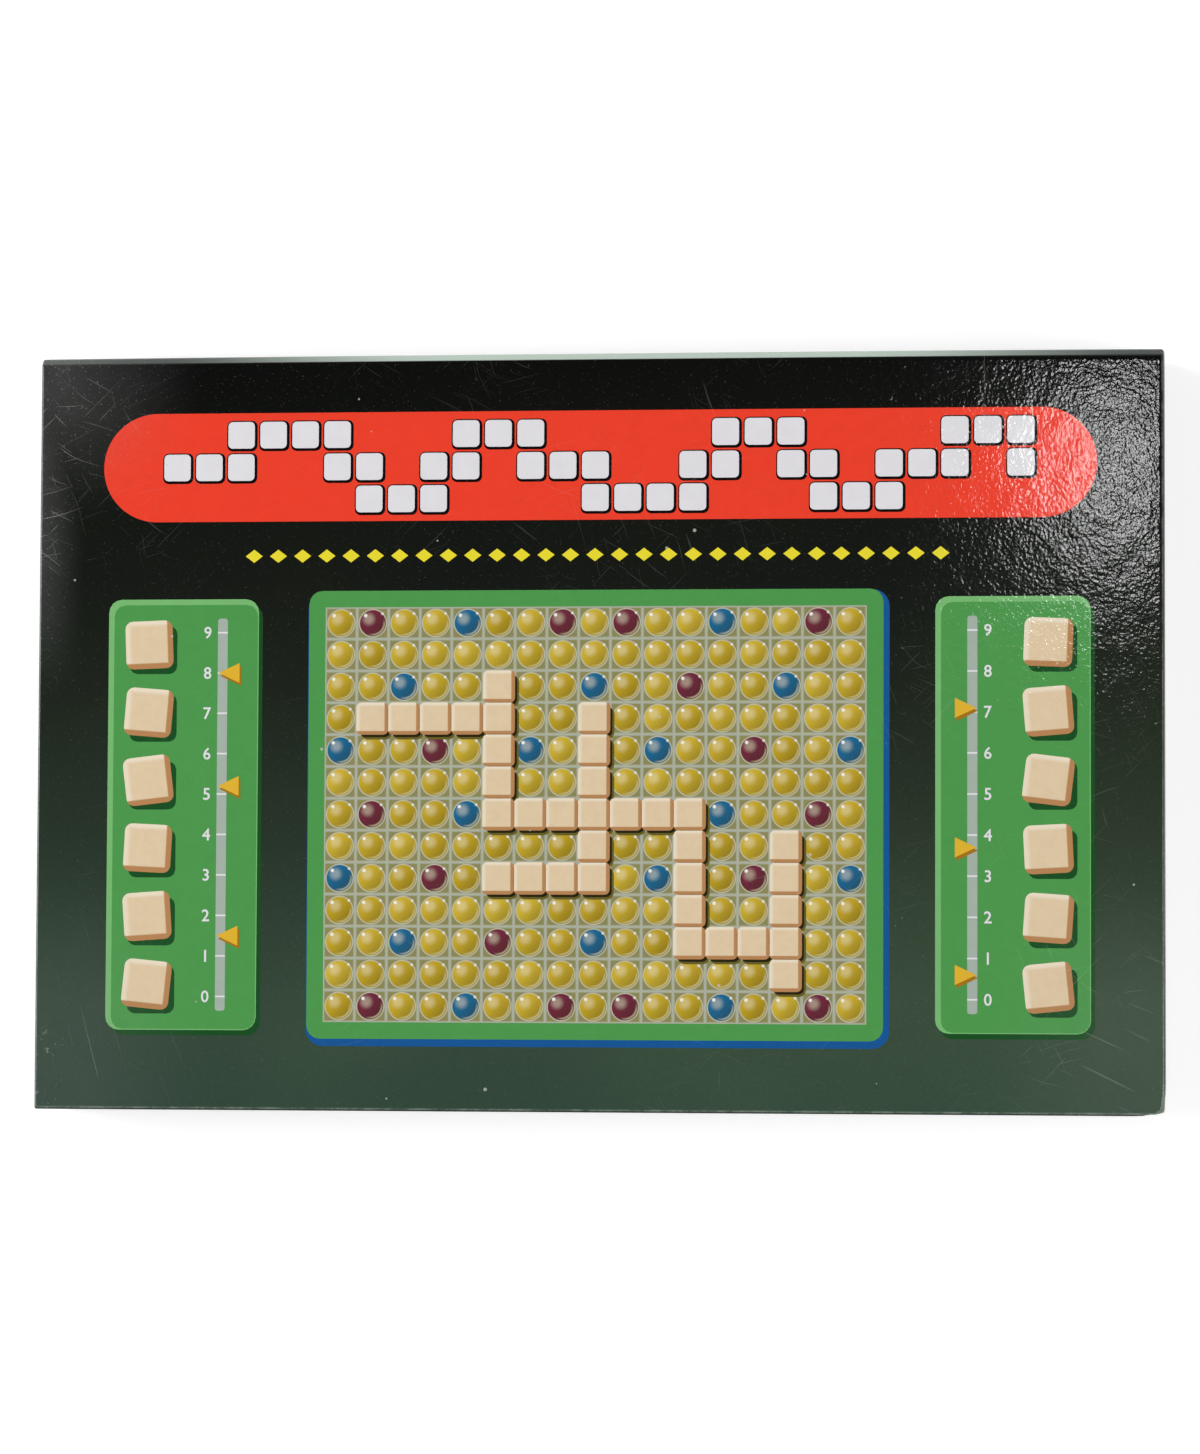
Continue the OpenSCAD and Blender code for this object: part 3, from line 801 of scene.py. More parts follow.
def side_panel(art, side):
    """A green panel with blank tiles, and a scale with digits and three yellow markers."""
    centre = Vector((side * SIDE_X, PANEL_CENTRE.y))
    art.plate("green_dark", 1, centre + Vector((1.2, -1.6)) * MM, SIDE_SIZE, 4 * MM)
    art.plate("green_light", 2, centre, SIDE_SIZE, 4 * MM)
    art.plate("green", 3, centre + Vector((0.7, -0.7)) * MM, SIDE_SIZE - Vector((2, 2)) * MM, 3.4 * MM)
    tiles_x = centre.x + side * 10.5 * MM
    scale_x = centre.x - side * 12 * MM
    tile, lean = 14.5 * MM, (0.10, -0.07, 0.05, -0.12, 0.08, -0.04)
    for i, turn in enumerate(lean):
        y = centre.y + (i - (len(lean) - 1) / 2) * 20.5 * MM
        art.plate("green_dark", 4, (tiles_x + 1.3 * MM, y - 1.6 * MM), (tile, tile), 2.4 * MM)
        art.tile(5, (tiles_x, y), tile, turn * side)
    step, half_run = 12.2 * MM, 4.5
    art.plate("slot", 4, (scale_x, centre.y), (3 * MM, 2 * (half_run + 0.35) * step), 0.8 * MM)
    for digit in range(10):
        y = centre.y + (digit - half_run) * step
        art.plate("white", 5, (scale_x, y), (3 * MM, 0.5 * MM), 0)
        art.digit("white", 4, str(digit), (scale_x + side * 4.6 * MM, y), 3.6 * MM)
    for at in (1.5, 5.2, 8.0) if side < 0 else (0.6, 3.7, 7.1):
        y = centre.y + (at - half_run) * step
        back_x = scale_x - side * 5.2 * MM
        marker = [(back_x, y - 3 * MM), (scale_x + side * 1.2 * MM, y), (back_x, y + 3 * MM)]
        art.outline("pointer_dark", 6, [(x + 0.5 * MM, y - 0.9 * MM) for x, y in marker])
        art.outline("pointer", 7, marker)


def lid_print():
    """All the print on the lid's face."""
    art = Print()
    band(art)
    diamonds(art)
    panel(art)
    side_panel(art, -1)
    side_panel(art, 1)
    special = {"mosaic": lid_mosaic(), "tiles": printed_tile("lid_tiles", (238, 216, 180), (190, 138, 90))}
    for colour, bm in art.meshes.items():
        ink = special.get(colour) or lid_ink("lid_" + colour, srgb(*LID_COLOURS[colour]))
        piece("print_" + colour, bm, ink, "lid", crisp=False)


# ---------------------------------------------------------------- lid

BACK_FOLD, BACK_BOW, SIDE_BOW = 1.9 * MM, 0.3 * MM, 0.4 * MM
CRUSH, CRUSH_REACH = 2.1 * MM, 9 * MM
WALL_TILT = 0.55  # a face of the wrap that points up less than this is a wall


def smooth(value, low, high):
    """0 below low, 1 above high and smooth between."""
    t = min(max((value - low) / (high - low), 0.0), 1.0)
    return t * t * (3 - 2 * t)


def pressed(point):
    """Where a point of the lid lies once handling has drawn in its folds and crushed a corner."""
    moved = point.copy()
    end = min(abs(point.x) / LID_HALF.x, 1.0)
    fold = smooth(point.z, LID_HIGH.z - 2.3 * MM, LID_HIGH.z - 0.1 * MM)
    brim = smooth(point.z, LID_HIGH.z - 9 * MM, LID_HIGH.z - 1 * MM)
    back = smooth(point.y, LID_HALF.y - 16 * MM, LID_HALF.y - 1.5 * MM)
    side = smooth(abs(point.x), LID_HALF.x - 12 * MM, LID_HALF.x - 1 * MM)
    moved.y -= back * (BACK_FOLD * fold + BACK_BOW * brim * end ** 3)
    moved.x -= math.copysign(SIDE_BOW * brim * side, point.x)
    crushed = Vector((LID_HALF.x, -LID_HALF.y))
    near = max(0.0, 1 - (point.xy - crushed).length / CRUSH_REACH) ** 2
    rough = 1 + 0.25 * math.sin(point.z * 900) + 0.2 * math.sin(point.x * 1700 + point.y * 1300)
    push = CRUSH * near * rough * (0.45 + 0.55 * smooth(point.z, LID_HIGH.z - 20 * MM, LID_HIGH.z))
    moved.x -= push * 0.7
    moved.y += push * 0.7
    return moved


def open_box(low, high, radius, open_high):
    """The outside of an open box with rounded folds. Returns its mesh and the edges of its rim."""
    bm = bmesh.new()
    verts = block(bm, low, high)
    mouth = high[2] if open_high else low[2]
    top = [f for f in bm.faces if all(abs(v.co.z - mouth) < NEAR for v in f.verts)]
    bmesh.ops.delete(bm, geom=top, context="FACES_ONLY")
    folds = [e for e in edges_of(verts) if not e.is_boundary]
    soften(bm, folds, radius, 3)
    return bm, [e for e in bm.edges if e.is_boundary]


def draw_in(bm, rim, amount, half, rise):
    """Carries a rim inwards by an amount, then up or down by a rise."""
    inner = carry(bm, rim, (0, 0, 0))
    verts = list(dict.fromkeys(vert for edge in inner for vert in edge.verts))
    bmesh.ops.scale(bm, vec=((half[0] - amount) / half[0], (half[1] - amount) / half[1], 1), verts=verts)
    carry(bm, inner, (0, 0, rise))


def press(bm):
    """Gives the lid loops of edges that let it bow and crush, and moves them."""
    half_x, half_y = LID_HALF
    cuts(bm, 0, spread(-half_x, half_x, 15) + [half_x - d * MM for d in (1.4, 2.6, 4, 6.5, 10)]
         + [-half_x + d * MM for d in (1.4, 4, 8, 12)])
    cuts(bm, 1, spread(-half_y, half_y, 9) + [-half_y + d * MM for d in (1.4, 2.6, 4, 6.5, 10)]
         + [half_y - d * MM for d in (1.6, 3, 6, 11, 16)])
    cuts(bm, 2, [LID_HIGH.z - d * MM for d in (0.9, 1.2, 1.6, 2, 2.6, 4, 6, 9, 14, 20)])
    for vert in bm.verts:
        vert.co = pressed(vert.co)
    bmesh.ops.recalc_face_normals(bm, faces=bm.faces)


def lid_skin():
    """The lid's printed paper, folded round its walls and turned in over the rim."""
    bm, rim = open_box(LID_LOW, (LID_HIGH.x, LID_HIGH.y, FACE), 0.6 * MM, open_high=False)
    draw_in(bm, rim, WALL, LID_HALF, TURN_IN)
    press(bm)
    for face in bm.faces:
        face.material_index = int(face.normal.z < WALL_TILT)
    piece("lid_wrap_paper", bm, [MATERIALS["lid_ground"], MATERIALS["lid_walls"]], "lid",
          ["lid_wrap"], modifiers=[walled(WRAP)])


def lid_core():
    """The lid's greyboard shell, inside its paper."""
    top = FACE - PAPER
    bm, _ = open_box(LID_BOARD_LOW, (LID_BOARD_HIGH.x, LID_BOARD_HIGH.y, top), 0.5 * MM, open_high=False)
    press(bm)
    piece("lid_greyboard", bm, MATERIALS["greyboard"], "lid", ["lid_board"],
          modifiers=[walled(GREYBOARD)])


# ---------------------------------------------------------------- tray

def tray_skin():
    """The tray's paper: round its walls and turned in over the rim."""
    bm = bmesh.new()
    verts = block(bm, TRAY_LOW, TRAY_HIGH)
    ends = [f for f in bm.faces if abs(f.normal.z) > 0.5]
    bmesh.ops.delete(bm, geom=ends, context="FACES_ONLY")
    soften(bm, upright(edges_of(verts)), 0.8 * MM, 3)
    rim = at_height(bm.edges, TRAY_HIGH.z)
    half = (TRAY_HIGH.xy - TRAY_LOW.xy) / 2
    draw_in(bm, rim, WALL, half, -TURN_IN)
    bmesh.ops.recalc_face_normals(bm, faces=bm.faces)
    piece("tray_wrap_paper", bm, MATERIALS["tray_paper"], "tray", ["tray_wrap"],
          modifiers=[walled(WRAP)])


def tray_core():
    """The tray's greyboard shell."""
    low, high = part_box("tray_board")
    bm, _ = open_box(low, high, 0.6 * MM, open_high=True)
    bmesh.ops.recalc_face_normals(bm, faces=bm.faces)
    piece("tray_greyboard", bm, MATERIALS["greyboard"], "tray", ["tray_board"],
          modifiers=[walled(GREYBOARD)])


# ---------------------------------------------------------------- insert and leaflet

def card_piece(node):
    """A folded card piece of the insert, with soft folds."""
    bm = copy_of(node)
    soften(bm, sharp_edges(bm), 0.3 * MM)
    piece(node + "_card", bm, MATERIALS["white_card"], "tray", [node])


def folded_sheet(bm, low, high, left, right, rise):
    """Half of a folded sheet below and half above, joined by a half round fold at its left."""
    bottom, top = low.z + rise, high.z - rise
    radius = (top - bottom) / 2
    start = bm.edges.new([bm.verts.new((high.x, y, bottom)) for y in (low.y, high.y)])
    edges = carry(bm, [start], (left + radius - high.x, 0, 0))
    spun = bmesh.ops.spin(bm, geom=edges, cent=(left + radius, 0, bottom + radius), axis=(0, 1, 0),
                          angle=math.pi, steps=8)["geom_last"]
    carry(bm, edges_in(spun), (right - left - radius, 0, 0))


def leaflet():
    """The leaflet: a sheet folded twice, so that one fold lies inside the other."""
    low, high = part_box("leaflet")
    sheet = 0.1 * MM
    bm = bmesh.new()
    folded_sheet(bm, low, high, low.x + 0.1 * MM, high.x - 0.5 * MM, 0.07 * MM)
    folded_sheet(bm, low, high, low.x + 0.3 * MM, high.x - 1.1 * MM, 0.2 * MM)
    piece("leaflet_sheets", bm, MATERIALS["leaflet_paper"], "leaflet", ["leaflet"],
          modifiers=[walled(sheet, 0.0)])
    leaflet_print(low, high, high.z - 0.004 * MM)


def leaflet_print(low, high, top):
    """The leaflet's top page: a green bar, a grid and lines that stand for text, with no words."""
    base, margin, columns = top - 0.02 * MM, 13 * MM, 2
    middle = (low.x + high.x) / 2
    bar, grey = bmesh.new(), bmesh.new()
    block(bar, (low.x + margin, high.y - 25 * MM, base), (high.x - margin, high.y - 14 * MM, top))
    pitch, squares, stroke = 4.6 * MM, 15, 0.12 * MM
    half = pitch * squares / 2
    centre_y = high.y - 34 * MM - half
    for i in range(squares + 1):
        at = i * pitch - half
        x, y = middle + at, centre_y + at
        block(grey, (x - stroke, centre_y - half, base), (x + stroke, centre_y + half, top))
        block(grey, (middle - half, y - stroke, base), (middle + half, y + stroke, top))
    column_w, gutter, rng = (high.x - low.x - 2 * margin - 6 * MM) / columns, 6 * MM, random.Random(3)
    for column in range(columns):
        x = low.x + margin + column * (column_w + gutter)
        for row in range(16):
            y = centre_y - half - (10 + 4.6 * row) * MM
            if row % 6 != 5 and y > low.y + 10 * MM:
                short = column_w * rng.choice((0, 0, 0, 0.05, 0.4))
                block(grey, (x, y - 0.45 * MM, base), (x + column_w - short, y + 0.45 * MM, top))
    piece("leaflet_bar", bar, MATERIALS["green_ink"], "leaflet", crisp=False)
    piece("leaflet_lines", grey, MATERIALS["grey_ink"], "leaflet", crisp=False)


# ---------------------------------------------------------------- play board

BOARD_LOW, BOARD_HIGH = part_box("board_cover")
PLAY_LOW, PLAY_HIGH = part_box("play_sheet")
CLEAR_LOW, CLEAR_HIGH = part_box("dome_sheet")
SQUARE = 12.6 * MM
SQUARES_ACROSS = 15
TILE = 12.2 * MM
CORNER = 6 * MM
TILE_WALL, TILE_FACE = 0.9 * MM, 1.8 * MM
CLEAR_T = 0.4 * MM
CLEAR_SKIN = 0.33 * MM
WELD_INSET, WELD_PITCH = 2 * MM, 1.5 * MM
BORDER = ((PLAY_HIGH.x - PLAY_LOW.x) - SQUARES_ACROSS * SQUARE) / 2
GRID_CENTRE = Vector(((PLAY_LOW.x + PLAY_HIGH.x) / 2, PLAY_LOW.y + BORDER + SQUARES_ACROSS * SQUARE / 2, 0))


def board_cover():
    """The blue vinyl under the board, with rounded edges."""
    bm = bmesh.new()
    centre = (BOARD_LOW + BOARD_HIGH) / 2
    slab(bm, centre, (BOARD_HIGH - BOARD_LOW).xy, BOARD_LOW.z, BOARD_HIGH.z, CORNER, 8)
    low_edges = at_height(bm.edges, BOARD_LOW.z)
    soften(bm, low_edges, 0.3 * MM)
    piece("board_vinyl", bm, MATERIALS["blue_vinyl"], "board", ["board_cover"])


def edge_rim():
    """The vinyl rim round the play sheet, with a welded groove."""
    low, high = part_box("edge_piping")
    bm = bmesh.new()
    centre = (low + high) / 2
    slab(bm, centre, (high - low).xy, low.z, high.z, CORNER, 8)
    faces = [f for f in bm.faces if abs(f.normal.z) > 0.9]
    bmesh.ops.delete(bm, geom=faces, context="FACES")
    thick = PLAY_LOW.x - low.x - 0.1 * MM
    bmesh.ops.recalc_face_normals(bm, faces=bm.faces)
    piece("board_rim", bm, MATERIALS["blue_vinyl"], "board", ["edge_piping"],
          modifiers=[walled(thick), ("BEVEL", {"width": 0.15 * MM, "segments": 2})])


def play_print():
    """The printed play sheet, with its tally marks at the back."""
    bm = bmesh.new()
    block(bm, PLAY_LOW, PLAY_HIGH - Vector((0, 0, 2 * INK)))
    piece("play_sheet_green", bm, MATERIALS["play_green"], "board", ["play_sheet"],
          crisp=False)
    bm = bmesh.new()
    half = SQUARES_ACROSS * SQUARE / 2
    top = PLAY_HIGH.z - INK
    block(bm, GRID_CENTRE + Vector((-half, -half, PLAY_LOW.z)), GRID_CENTRE + Vector((half, half, top)))
    piece("play_grid", bm, MATERIALS["play_grid"], "board", crisp=False)
    bm = bmesh.new()
    tally_y = (GRID_CENTRE.y + half + PLAY_HIGH.y) / 2
    for i in range(26):
        x = GRID_CENTRE.x + (i - 12.5) * 6.9 * MM
        slab(bm, (x, tally_y + 2.2 * MM), (3.2 * MM, 3.2 * MM), PLAY_LOW.z, top, 0.5 * MM, 2)
        for k in range(1 + (i * 5) % 4):
            block(bm, (x + (k * 1.0 - 1.6) * MM, tally_y - 2.6 * MM, PLAY_LOW.z),
                  (x + (k * 1.0 - 1.2) * MM, tally_y - 0.6 * MM, top))
    piece("tally_marks", bm, MATERIALS["white_ink"], "board", crisp=False)


def dome_cell():
    """One square of the clear sheet: a flat part round a dome of three steps."""
    radius = TILE / 2 - TILE_WALL - 0.1 * MM
    height = CLEAR_HIGH.z - CLEAR_LOW.z - CLEAR_T
    ball = (radius * radius + height * height) / (2 * height)
    half = SQUARE / 2
    segments = 16
    bm = bmesh.new()
    corners = [bm.verts.new((sx * half, sy * half, 0)) for sx, sy in ((1, 1), (-1, 1), (-1, -1), (1, -1))]
    frame_edges = [bm.edges.new((corners[i], corners[(i + 1) % 4])) for i in range(4)]
    bmesh.ops.subdivide_edges(bm, edges=frame_edges, cuts=3)
    for share in (1.0, 0.8, 0.45):
        r = radius * share
        z = math.sqrt(ball * ball - r * r) - (ball - height)
        made = bmesh.ops.create_circle(bm, segments=segments, radius=r, cap_ends=share < 0.5)["verts"]
        bmesh.ops.translate(bm, vec=(0, 0, z), verts=made)
    loops = [[], [], [], []]
    for edge in bm.edges:
        r = max(v.co.xy.length for v in edge.verts)
        which = 0 if r > radius * 1.01 else 1 if r > radius * 0.9 else 2 if r > radius * 0.6 else 3
        loops[which].append(edge)
    for outer, inner in zip(loops, loops[1:]):
        bmesh.ops.bridge_loops(bm, edges=outer + inner)
    return as_mesh(bm, "dome_cell")


def clear_sheet():
    """The clear sheet with a dome over each square, as one closed skin."""
    bm = bmesh.new()
    cell = dome_cell()
    z = CLEAR_LOW.z + CLEAR_T
    for i in range(SQUARES_ACROSS):
        for j in range(SQUARES_ACROSS):
            offset = Vector((i - (SQUARES_ACROSS - 1) / 2, j - (SQUARES_ACROSS - 1) / 2, 0)) * SQUARE
            place(bm, cell, Matrix.Translation(GRID_CENTRE + offset + Vector((0, 0, z))))
    bmesh.ops.remove_doubles(bm, verts=bm.verts, dist=0.01 * MM)
    rim = [e for e in bm.edges if e.is_boundary]
    outer = bmesh.ops.extrude_edge_only(bm, edges=rim)["geom"]
    half = SQUARES_ACROSS * SQUARE / 2
    reach = 1 + 1e-4
    for vert in verts_in(outer):
        for axis, local in enumerate((vert.co - GRID_CENTRE).xy):
            if local * reach >= half:
                vert.co[axis] = CLEAR_HIGH[axis]
            elif local * reach <= -half:
                vert.co[axis] = CLEAR_LOW[axis]
    corners = [v for v in bm.verts if all(v.co[i] in (CLEAR_LOW[i], CLEAR_HIGH[i]) for i in (0, 1))]
    bmesh.ops.bevel(bm, geom=corners, offset=CORNER, offset_type="OFFSET", segments=6, profile=0.5,
                    affect="VERTICES", material=-1)
    bmesh.ops.recalc_face_normals(bm, faces=bm.faces)
    if max(bm.faces, key=lambda f: f.calc_area()).normal.z < 0:
        bmesh.ops.reverse_faces(bm, faces=bm.faces)
    piece("clear_domes", bm, MATERIALS["clear_sheet"], "board", ["dome_sheet"],
          modifiers=[walled(CLEAR_SKIN)])


# ---------------------------------------------------------------- tiles

LETTER_TALL, VALUE_TALL, LETTER_WEIGHT = 6.1 * MM, 1.8 * MM, 0.03


def tile_shape():
    """One tile with rounded shoulders and a hollow underneath, centred, with its foot at height 0."""
    low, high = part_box("tile_row_01")
    tall = high.z - low.z
    half = TILE / 2
    bm = bmesh.new()
    verts = block(bm, (-half, -half, 0), (half, half, tall))
    edges = edges_of(verts)
    soften(bm, upright(edges) + at_height(edges, tall), 0.75 * MM)
    foot = [f for f in bm.faces if f.normal.z < -0.9]
    bmesh.ops.inset_region(bm, faces=foot, thickness=TILE_WALL, depth=0)
    foot = [f for f in bm.faces if f.normal.z < -0.9 and all(v.co.xy.length < half * 1.3 for v in f.verts)
            and abs(f.calc_center_median().x) < 0.1 * MM and abs(f.calc_center_median().y) < 0.1 * MM]
    raised = bmesh.ops.extrude_face_region(bm, geom=foot)["geom"]
    bmesh.ops.delete(bm, geom=foot, context="FACES_ONLY")
    bmesh.ops.translate(bm, vec=(0, 0, tall - TILE_FACE), verts=verts_in(raised))
    bmesh.ops.recalc_face_normals(bm, faces=bm.faces)
    return as_mesh(bm, "tile_shape")


def tiles():
    """A hundred tiles in ten rows, turned every way in their well, each with a letter and a number."""
    rng = random.Random(5)
    shape = tile_shape()
    letters = "AAAAABBBCCCDDDDEEEEEEEFFFGGGHHHHIIIIIJJKKLLLLMMMNNNNNOOOOOPPPQQRRRRRSSSSSTTTTTUUUUVVWWWXXYYYZZ"
    letters += letters[:100 - len(letters)]
    signs = list(letters[:100])
    rng.shuffle(signs)
    ink = bmesh.new()
    letter_at, value_at = Vector((-0.5 * MM, 0.3 * MM, 0)), Vector((3.9 * MM, -3.5 * MM, 0))
    for row in range(10):
        node = f"tile_row_{row + 1:02d}"
        low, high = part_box(node)
        step = (high.x - low.x - TILE) / 9
        bm = bmesh.new()
        for i in range(10):
            centre = Vector((low.x + TILE / 2 + i * step, (low.y + high.y) / 2, low.z))
            place(bm, shape, Matrix.Translation(centre))
            turn = rng.choice((0, 0, 1, 2, 3)) * math.pi / 2
            around = Matrix.Rotation(turn, 3, "Z")
            letter = signs[row * 10 + i]
            number = str(1 + (ord(letter) - ord("A")) % 5)
            for text, at, height in ((letter, letter_at, LETTER_TALL), (number, value_at, VALUE_TALL)):
                write(ink, text, centre + around @ at, height, high.z - 0.02 * MM, high.z + LETTER_PROUD,
                      turn, LETTER_WEIGHT)
        piece("tiles_" + node[-2:], bm, MATERIALS["tile_ivory"], "tiles", [node])
    piece("tile_letters", ink, MATERIALS["black_ink"], "tiles", crisp=False)


# ---------------------------------------------------------------- racks and pointers

RACK_SLOT_FROM_BACK = 7.8 * MM
RACK_SLOT_SPACING = 29 * MM
DIGIT_PITCH = 2.4 * MM
SLOT_SIZE = Vector((25.5 * MM, 1.6 * MM))
RECESS_DEPTH, RECESS_MARGIN = 0.4 * MM, 1.2 * MM


def rack(i):
    """A rack with softened edges, its digits, its slots' pale strips and its pointers."""
    node = f"rack_{i}"
    low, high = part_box(node)
    bm = copy_of(node)
    soften(bm, sharp_edges(bm), 0.28 * MM)
    piece(node + "_moulding", bm, MATERIALS["rack_green"], node, [node])
    centre = (low.x + high.x) / 2
    slot_y = high.y - RACK_SLOT_FROM_BACK
    digits, strips = bmesh.new(), bmesh.new()
    sink, proud = high.z - 0.05 * MM, high.z + LETTER_PROUD
    for k, label in ((-1, "100"), (0, "10"), (1, "1")):
        x = centre + k * RACK_SLOT_SPACING
        for digit in range(10):
            at = (x + (digit - 4.5) * DIGIT_PITCH, high.y - 1.95 * MM)
            write(digits, str(digit), at, 2.0 * MM, sink, proud)
        write(digits, label, (x, high.y - 12.4 * MM), 2.1 * MM, sink, proud)
        bottom = high.z - RECESS_DEPTH
        half, reach = SLOT_SIZE / 2, SLOT_SIZE / 2 + Vector((RECESS_MARGIN - 0.3 * MM,) * 2)
        for side in (-1, 1):
            inner, outer = sorted((slot_y + side * (half.y + 0.15 * MM), slot_y + side * reach.y))
            block(strips, (x - reach.x, inner, bottom - 0.05 * MM),
                  (x + reach.x, outer, bottom + 0.08 * MM))
    piece(node + "_digits", digits, MATERIALS["white_ink"], node, crisp=False)
    piece(node + "_strips", strips, MATERIALS["slot_grey"], node, crisp=False)
    for name in ("hundreds", "tens", "units"):
        pointer_node = f"pointer_{i}_{name}"
        bm = copy_of(pointer_node)
        soften(bm, sharp_edges(bm), 0.18 * MM)
        piece(pointer_node + "_moulding", bm, MATERIALS["pointer_yellow"], pointer_node,
              [pointer_node])


# ---------------------------------------------------------------- other materials

def paper_material(name, low, high, roughness, flecks=0.25, fleck=(150, 142, 128), relief=0.015 * MM,
                   strength=0.5):
    """Grey chipboard, white card or paper: cloudy pulp, flecks and a fibre texture."""
    material, nodes, shader = new_material(name)
    fibres = nodes.use(FIBRES, Position=nodes.position())
    base = nodes.mix(fibres["Shade"], srgb(*low), srgb(*high))
    flecked = nodes.mix(nodes.times(fibres["Flecks"], flecks), base, srgb(*fleck))
    set_surface(nodes, shader, Base_Color=flecked, Roughness=roughness,
                Normal=nodes.bump(fibres["Height"], relief, strength))
    return material


def tray_paper():
    """The tray's dark printed paper, with rubbed folds and a light laminate."""
    material, nodes, shader = new_material("tray_paper")
    position = nodes.position()
    film = nodes.use(LAMINATE, Position=position)
    half, centre = (TRAY_HIGH - TRAY_LOW) / 2, (TRAY_LOW + TRAY_HIGH) / 2
    rub = nodes.use(RUB, Position=position, Centre=centre, Reach=1.0 * MM, Half=half)
    seam = nodes.use(SEAM, Position=position, Centre=centre, Half=half)
    base = nodes.mix(nodes.noise(position, 120, 3.0, 0.6), srgb(44, 66, 50), srgb(52, 78, 60))
    marks = nodes.most(nodes.times(film["Scratches"], 0.1), nodes.times(rub["Rubbed"], 0.5),
                       nodes.times(seam["Line"], 0.7))
    set_surface(nodes, shader, Base_Color=nodes.mix(marks, base, srgb(176, 180, 172)),
                Roughness=nodes.plus(nodes.times(rub["Rubbed"], 0.3), 0.36),
                Normal=nodes.bump(film["Height"], 0.03 * MM), Specular_IOR_Level=0.25)
    return material


def plastic(name, low, high, roughness, grain, scuff):
    """Moulded plastic with flow marks, tool texture and scuffs."""
    material, nodes, shader = new_material(name)
    position = nodes.position()
    moulded = nodes.use(MOULDED, Position=position)
    base = nodes.mix(moulded["Shade"], srgb(*low), srgb(*high))
    scuffed = nodes.mix(nodes.times(moulded["Scuffs"], scuff), base, srgb(226, 230, 222))
    rough = nodes.plus(nodes.times(moulded["Scuffs"], 0.25),
                       nodes.scaled(moulded["Shade"], roughness - 0.04, roughness + 0.05))
    set_surface(nodes, shader, Base_Color=scuffed, Roughness=rough,
                Normal=nodes.bump(moulded["Height"], grain))
    return material


def blue_vinyl():
    """Calendered vinyl with a fine leather grain."""
    material, nodes, shader = new_material("blue_vinyl")
    position = nodes.position()
    grain = nodes.cells(position, 1150, "SMOOTH_F1")["Distance"]
    base = nodes.mix(nodes.noise(position, 70, 3.0, 0.6), srgb(24, 62, 122), srgb(34, 84, 152))
    centre, half = (BOARD_LOW + BOARD_HIGH) / 2, (BOARD_HIGH - BOARD_LOW) / 2
    x, y, _ = nodes.axes(nodes.offset(position, centre))
    side = nodes.minus(half.x, nodes.size(x))
    end = nodes.minus(half.y, nodes.size(y))
    along = nodes.blend(nodes.math("LESS_THAN", side, end), x, y)
    inset = nodes.apart(nodes.math("MINIMUM", side, end), WELD_INSET)
    spacing = nodes.apart(nodes.math("FRACT", nodes.math("DIVIDE", along, WELD_PITCH)), 0.5)
    weld = nodes.times(nodes.step(inset, 0.45 * MM, 0.25 * MM), nodes.step(spacing, 0.3, 0.2))
    welded = nodes.mix(nodes.times(weld, 0.6), base, srgb(120, 160, 205))
    height = nodes.minus(nodes.times(grain, 0.4), weld)
    set_surface(nodes, shader, Base_Color=welded,
                Roughness=nodes.scaled(nodes.noise(position, 300), 0.34, 0.5),
                Normal=nodes.bump(height, 0.2 * MM, 0.8))
    return material


def play_green():
    """The play sheet's printed green border."""
    material, nodes, shader = new_material("play_green")
    position = nodes.position()
    base = nodes.mix(nodes.noise(position, 300, 3.0, 0.6), srgb(64, 140, 70), srgb(80, 158, 84))
    set_surface(nodes, shader, Base_Color=base, Roughness=0.4,
                Normal=nodes.bump(nodes.noise(position, 900), 0.01 * MM))
    return material


def play_grid():
    """The printed squares that lie under the domes."""
    material, nodes, shader = new_material("play_grid")
    position = nodes.position()
    grid = nodes.use(SQUARES, Position=position, Centre=GRID_CENTRE, Pitch=SQUARE)
    across, up, _ = nodes.axes(grid["Offset"])
    edge = nodes.most(nodes.size(across), nodes.size(up))
    radius = nodes.vector_math("LENGTH", grid["Offset"])
    yellow = nodes.mix(grid["Chance"], srgb(194, 164, 34), srgb(204, 176, 46))
    colour = nodes.mix(grid["Blue"], yellow, srgb(32, 112, 160))
    colour = nodes.mix(grid["Maroon"], colour, srgb(126, 46, 66))
    special = nodes.most(grid["Blue"], grid["Maroon"])
    ring = nodes.step(nodes.apart(radius, 0.26), 0.03, 0.015)
    ringed = nodes.mix(nodes.times(ring, special), colour, srgb(216, 214, 206))
    lined = nodes.mix(nodes.step(edge, 0.462, 0.472), ringed, srgb(196, 196, 186))
    screen = nodes.mix(nodes.scaled(nodes.noise(position, 1400), 0.0, 0.12), lined, srgb(120, 110, 60))
    set_surface(nodes, shader, Base_Color=screen, Roughness=0.42,
                Normal=nodes.bump(nodes.noise(position, 900), 0.01 * MM))
    return material


def clear_plastic():
    """Clear vacuum-formed sheet, which lets the lamps through to the print."""
    material, nodes, shader = new_material("clear_sheet")
    position = nodes.position()
    set_surface(nodes, shader, Base_Color=srgb(246, 249, 247), Transmission_Weight=1.0, IOR=1.45,
                Roughness=nodes.scaled(nodes.noise(position, 200, 3.0, 0.6), 0.02, 0.07),
                Normal=nodes.bump(nodes.noise(position, 160), 0.03 * MM))
    clear = nodes.add("BsdfTransparent", {"Color": srgb(240, 244, 241)})
    lamp_ray = nodes.add("LightPath", {}).outputs["Is Shadow Ray"]
    through = nodes.add("MixShader", {0: lamp_ray, 1: shader.outputs[0], 2: clear.outputs[0]})
    nodes.feed(nodes.tree.nodes["Material Output"].inputs["Surface"], through.outputs[0])
    return material


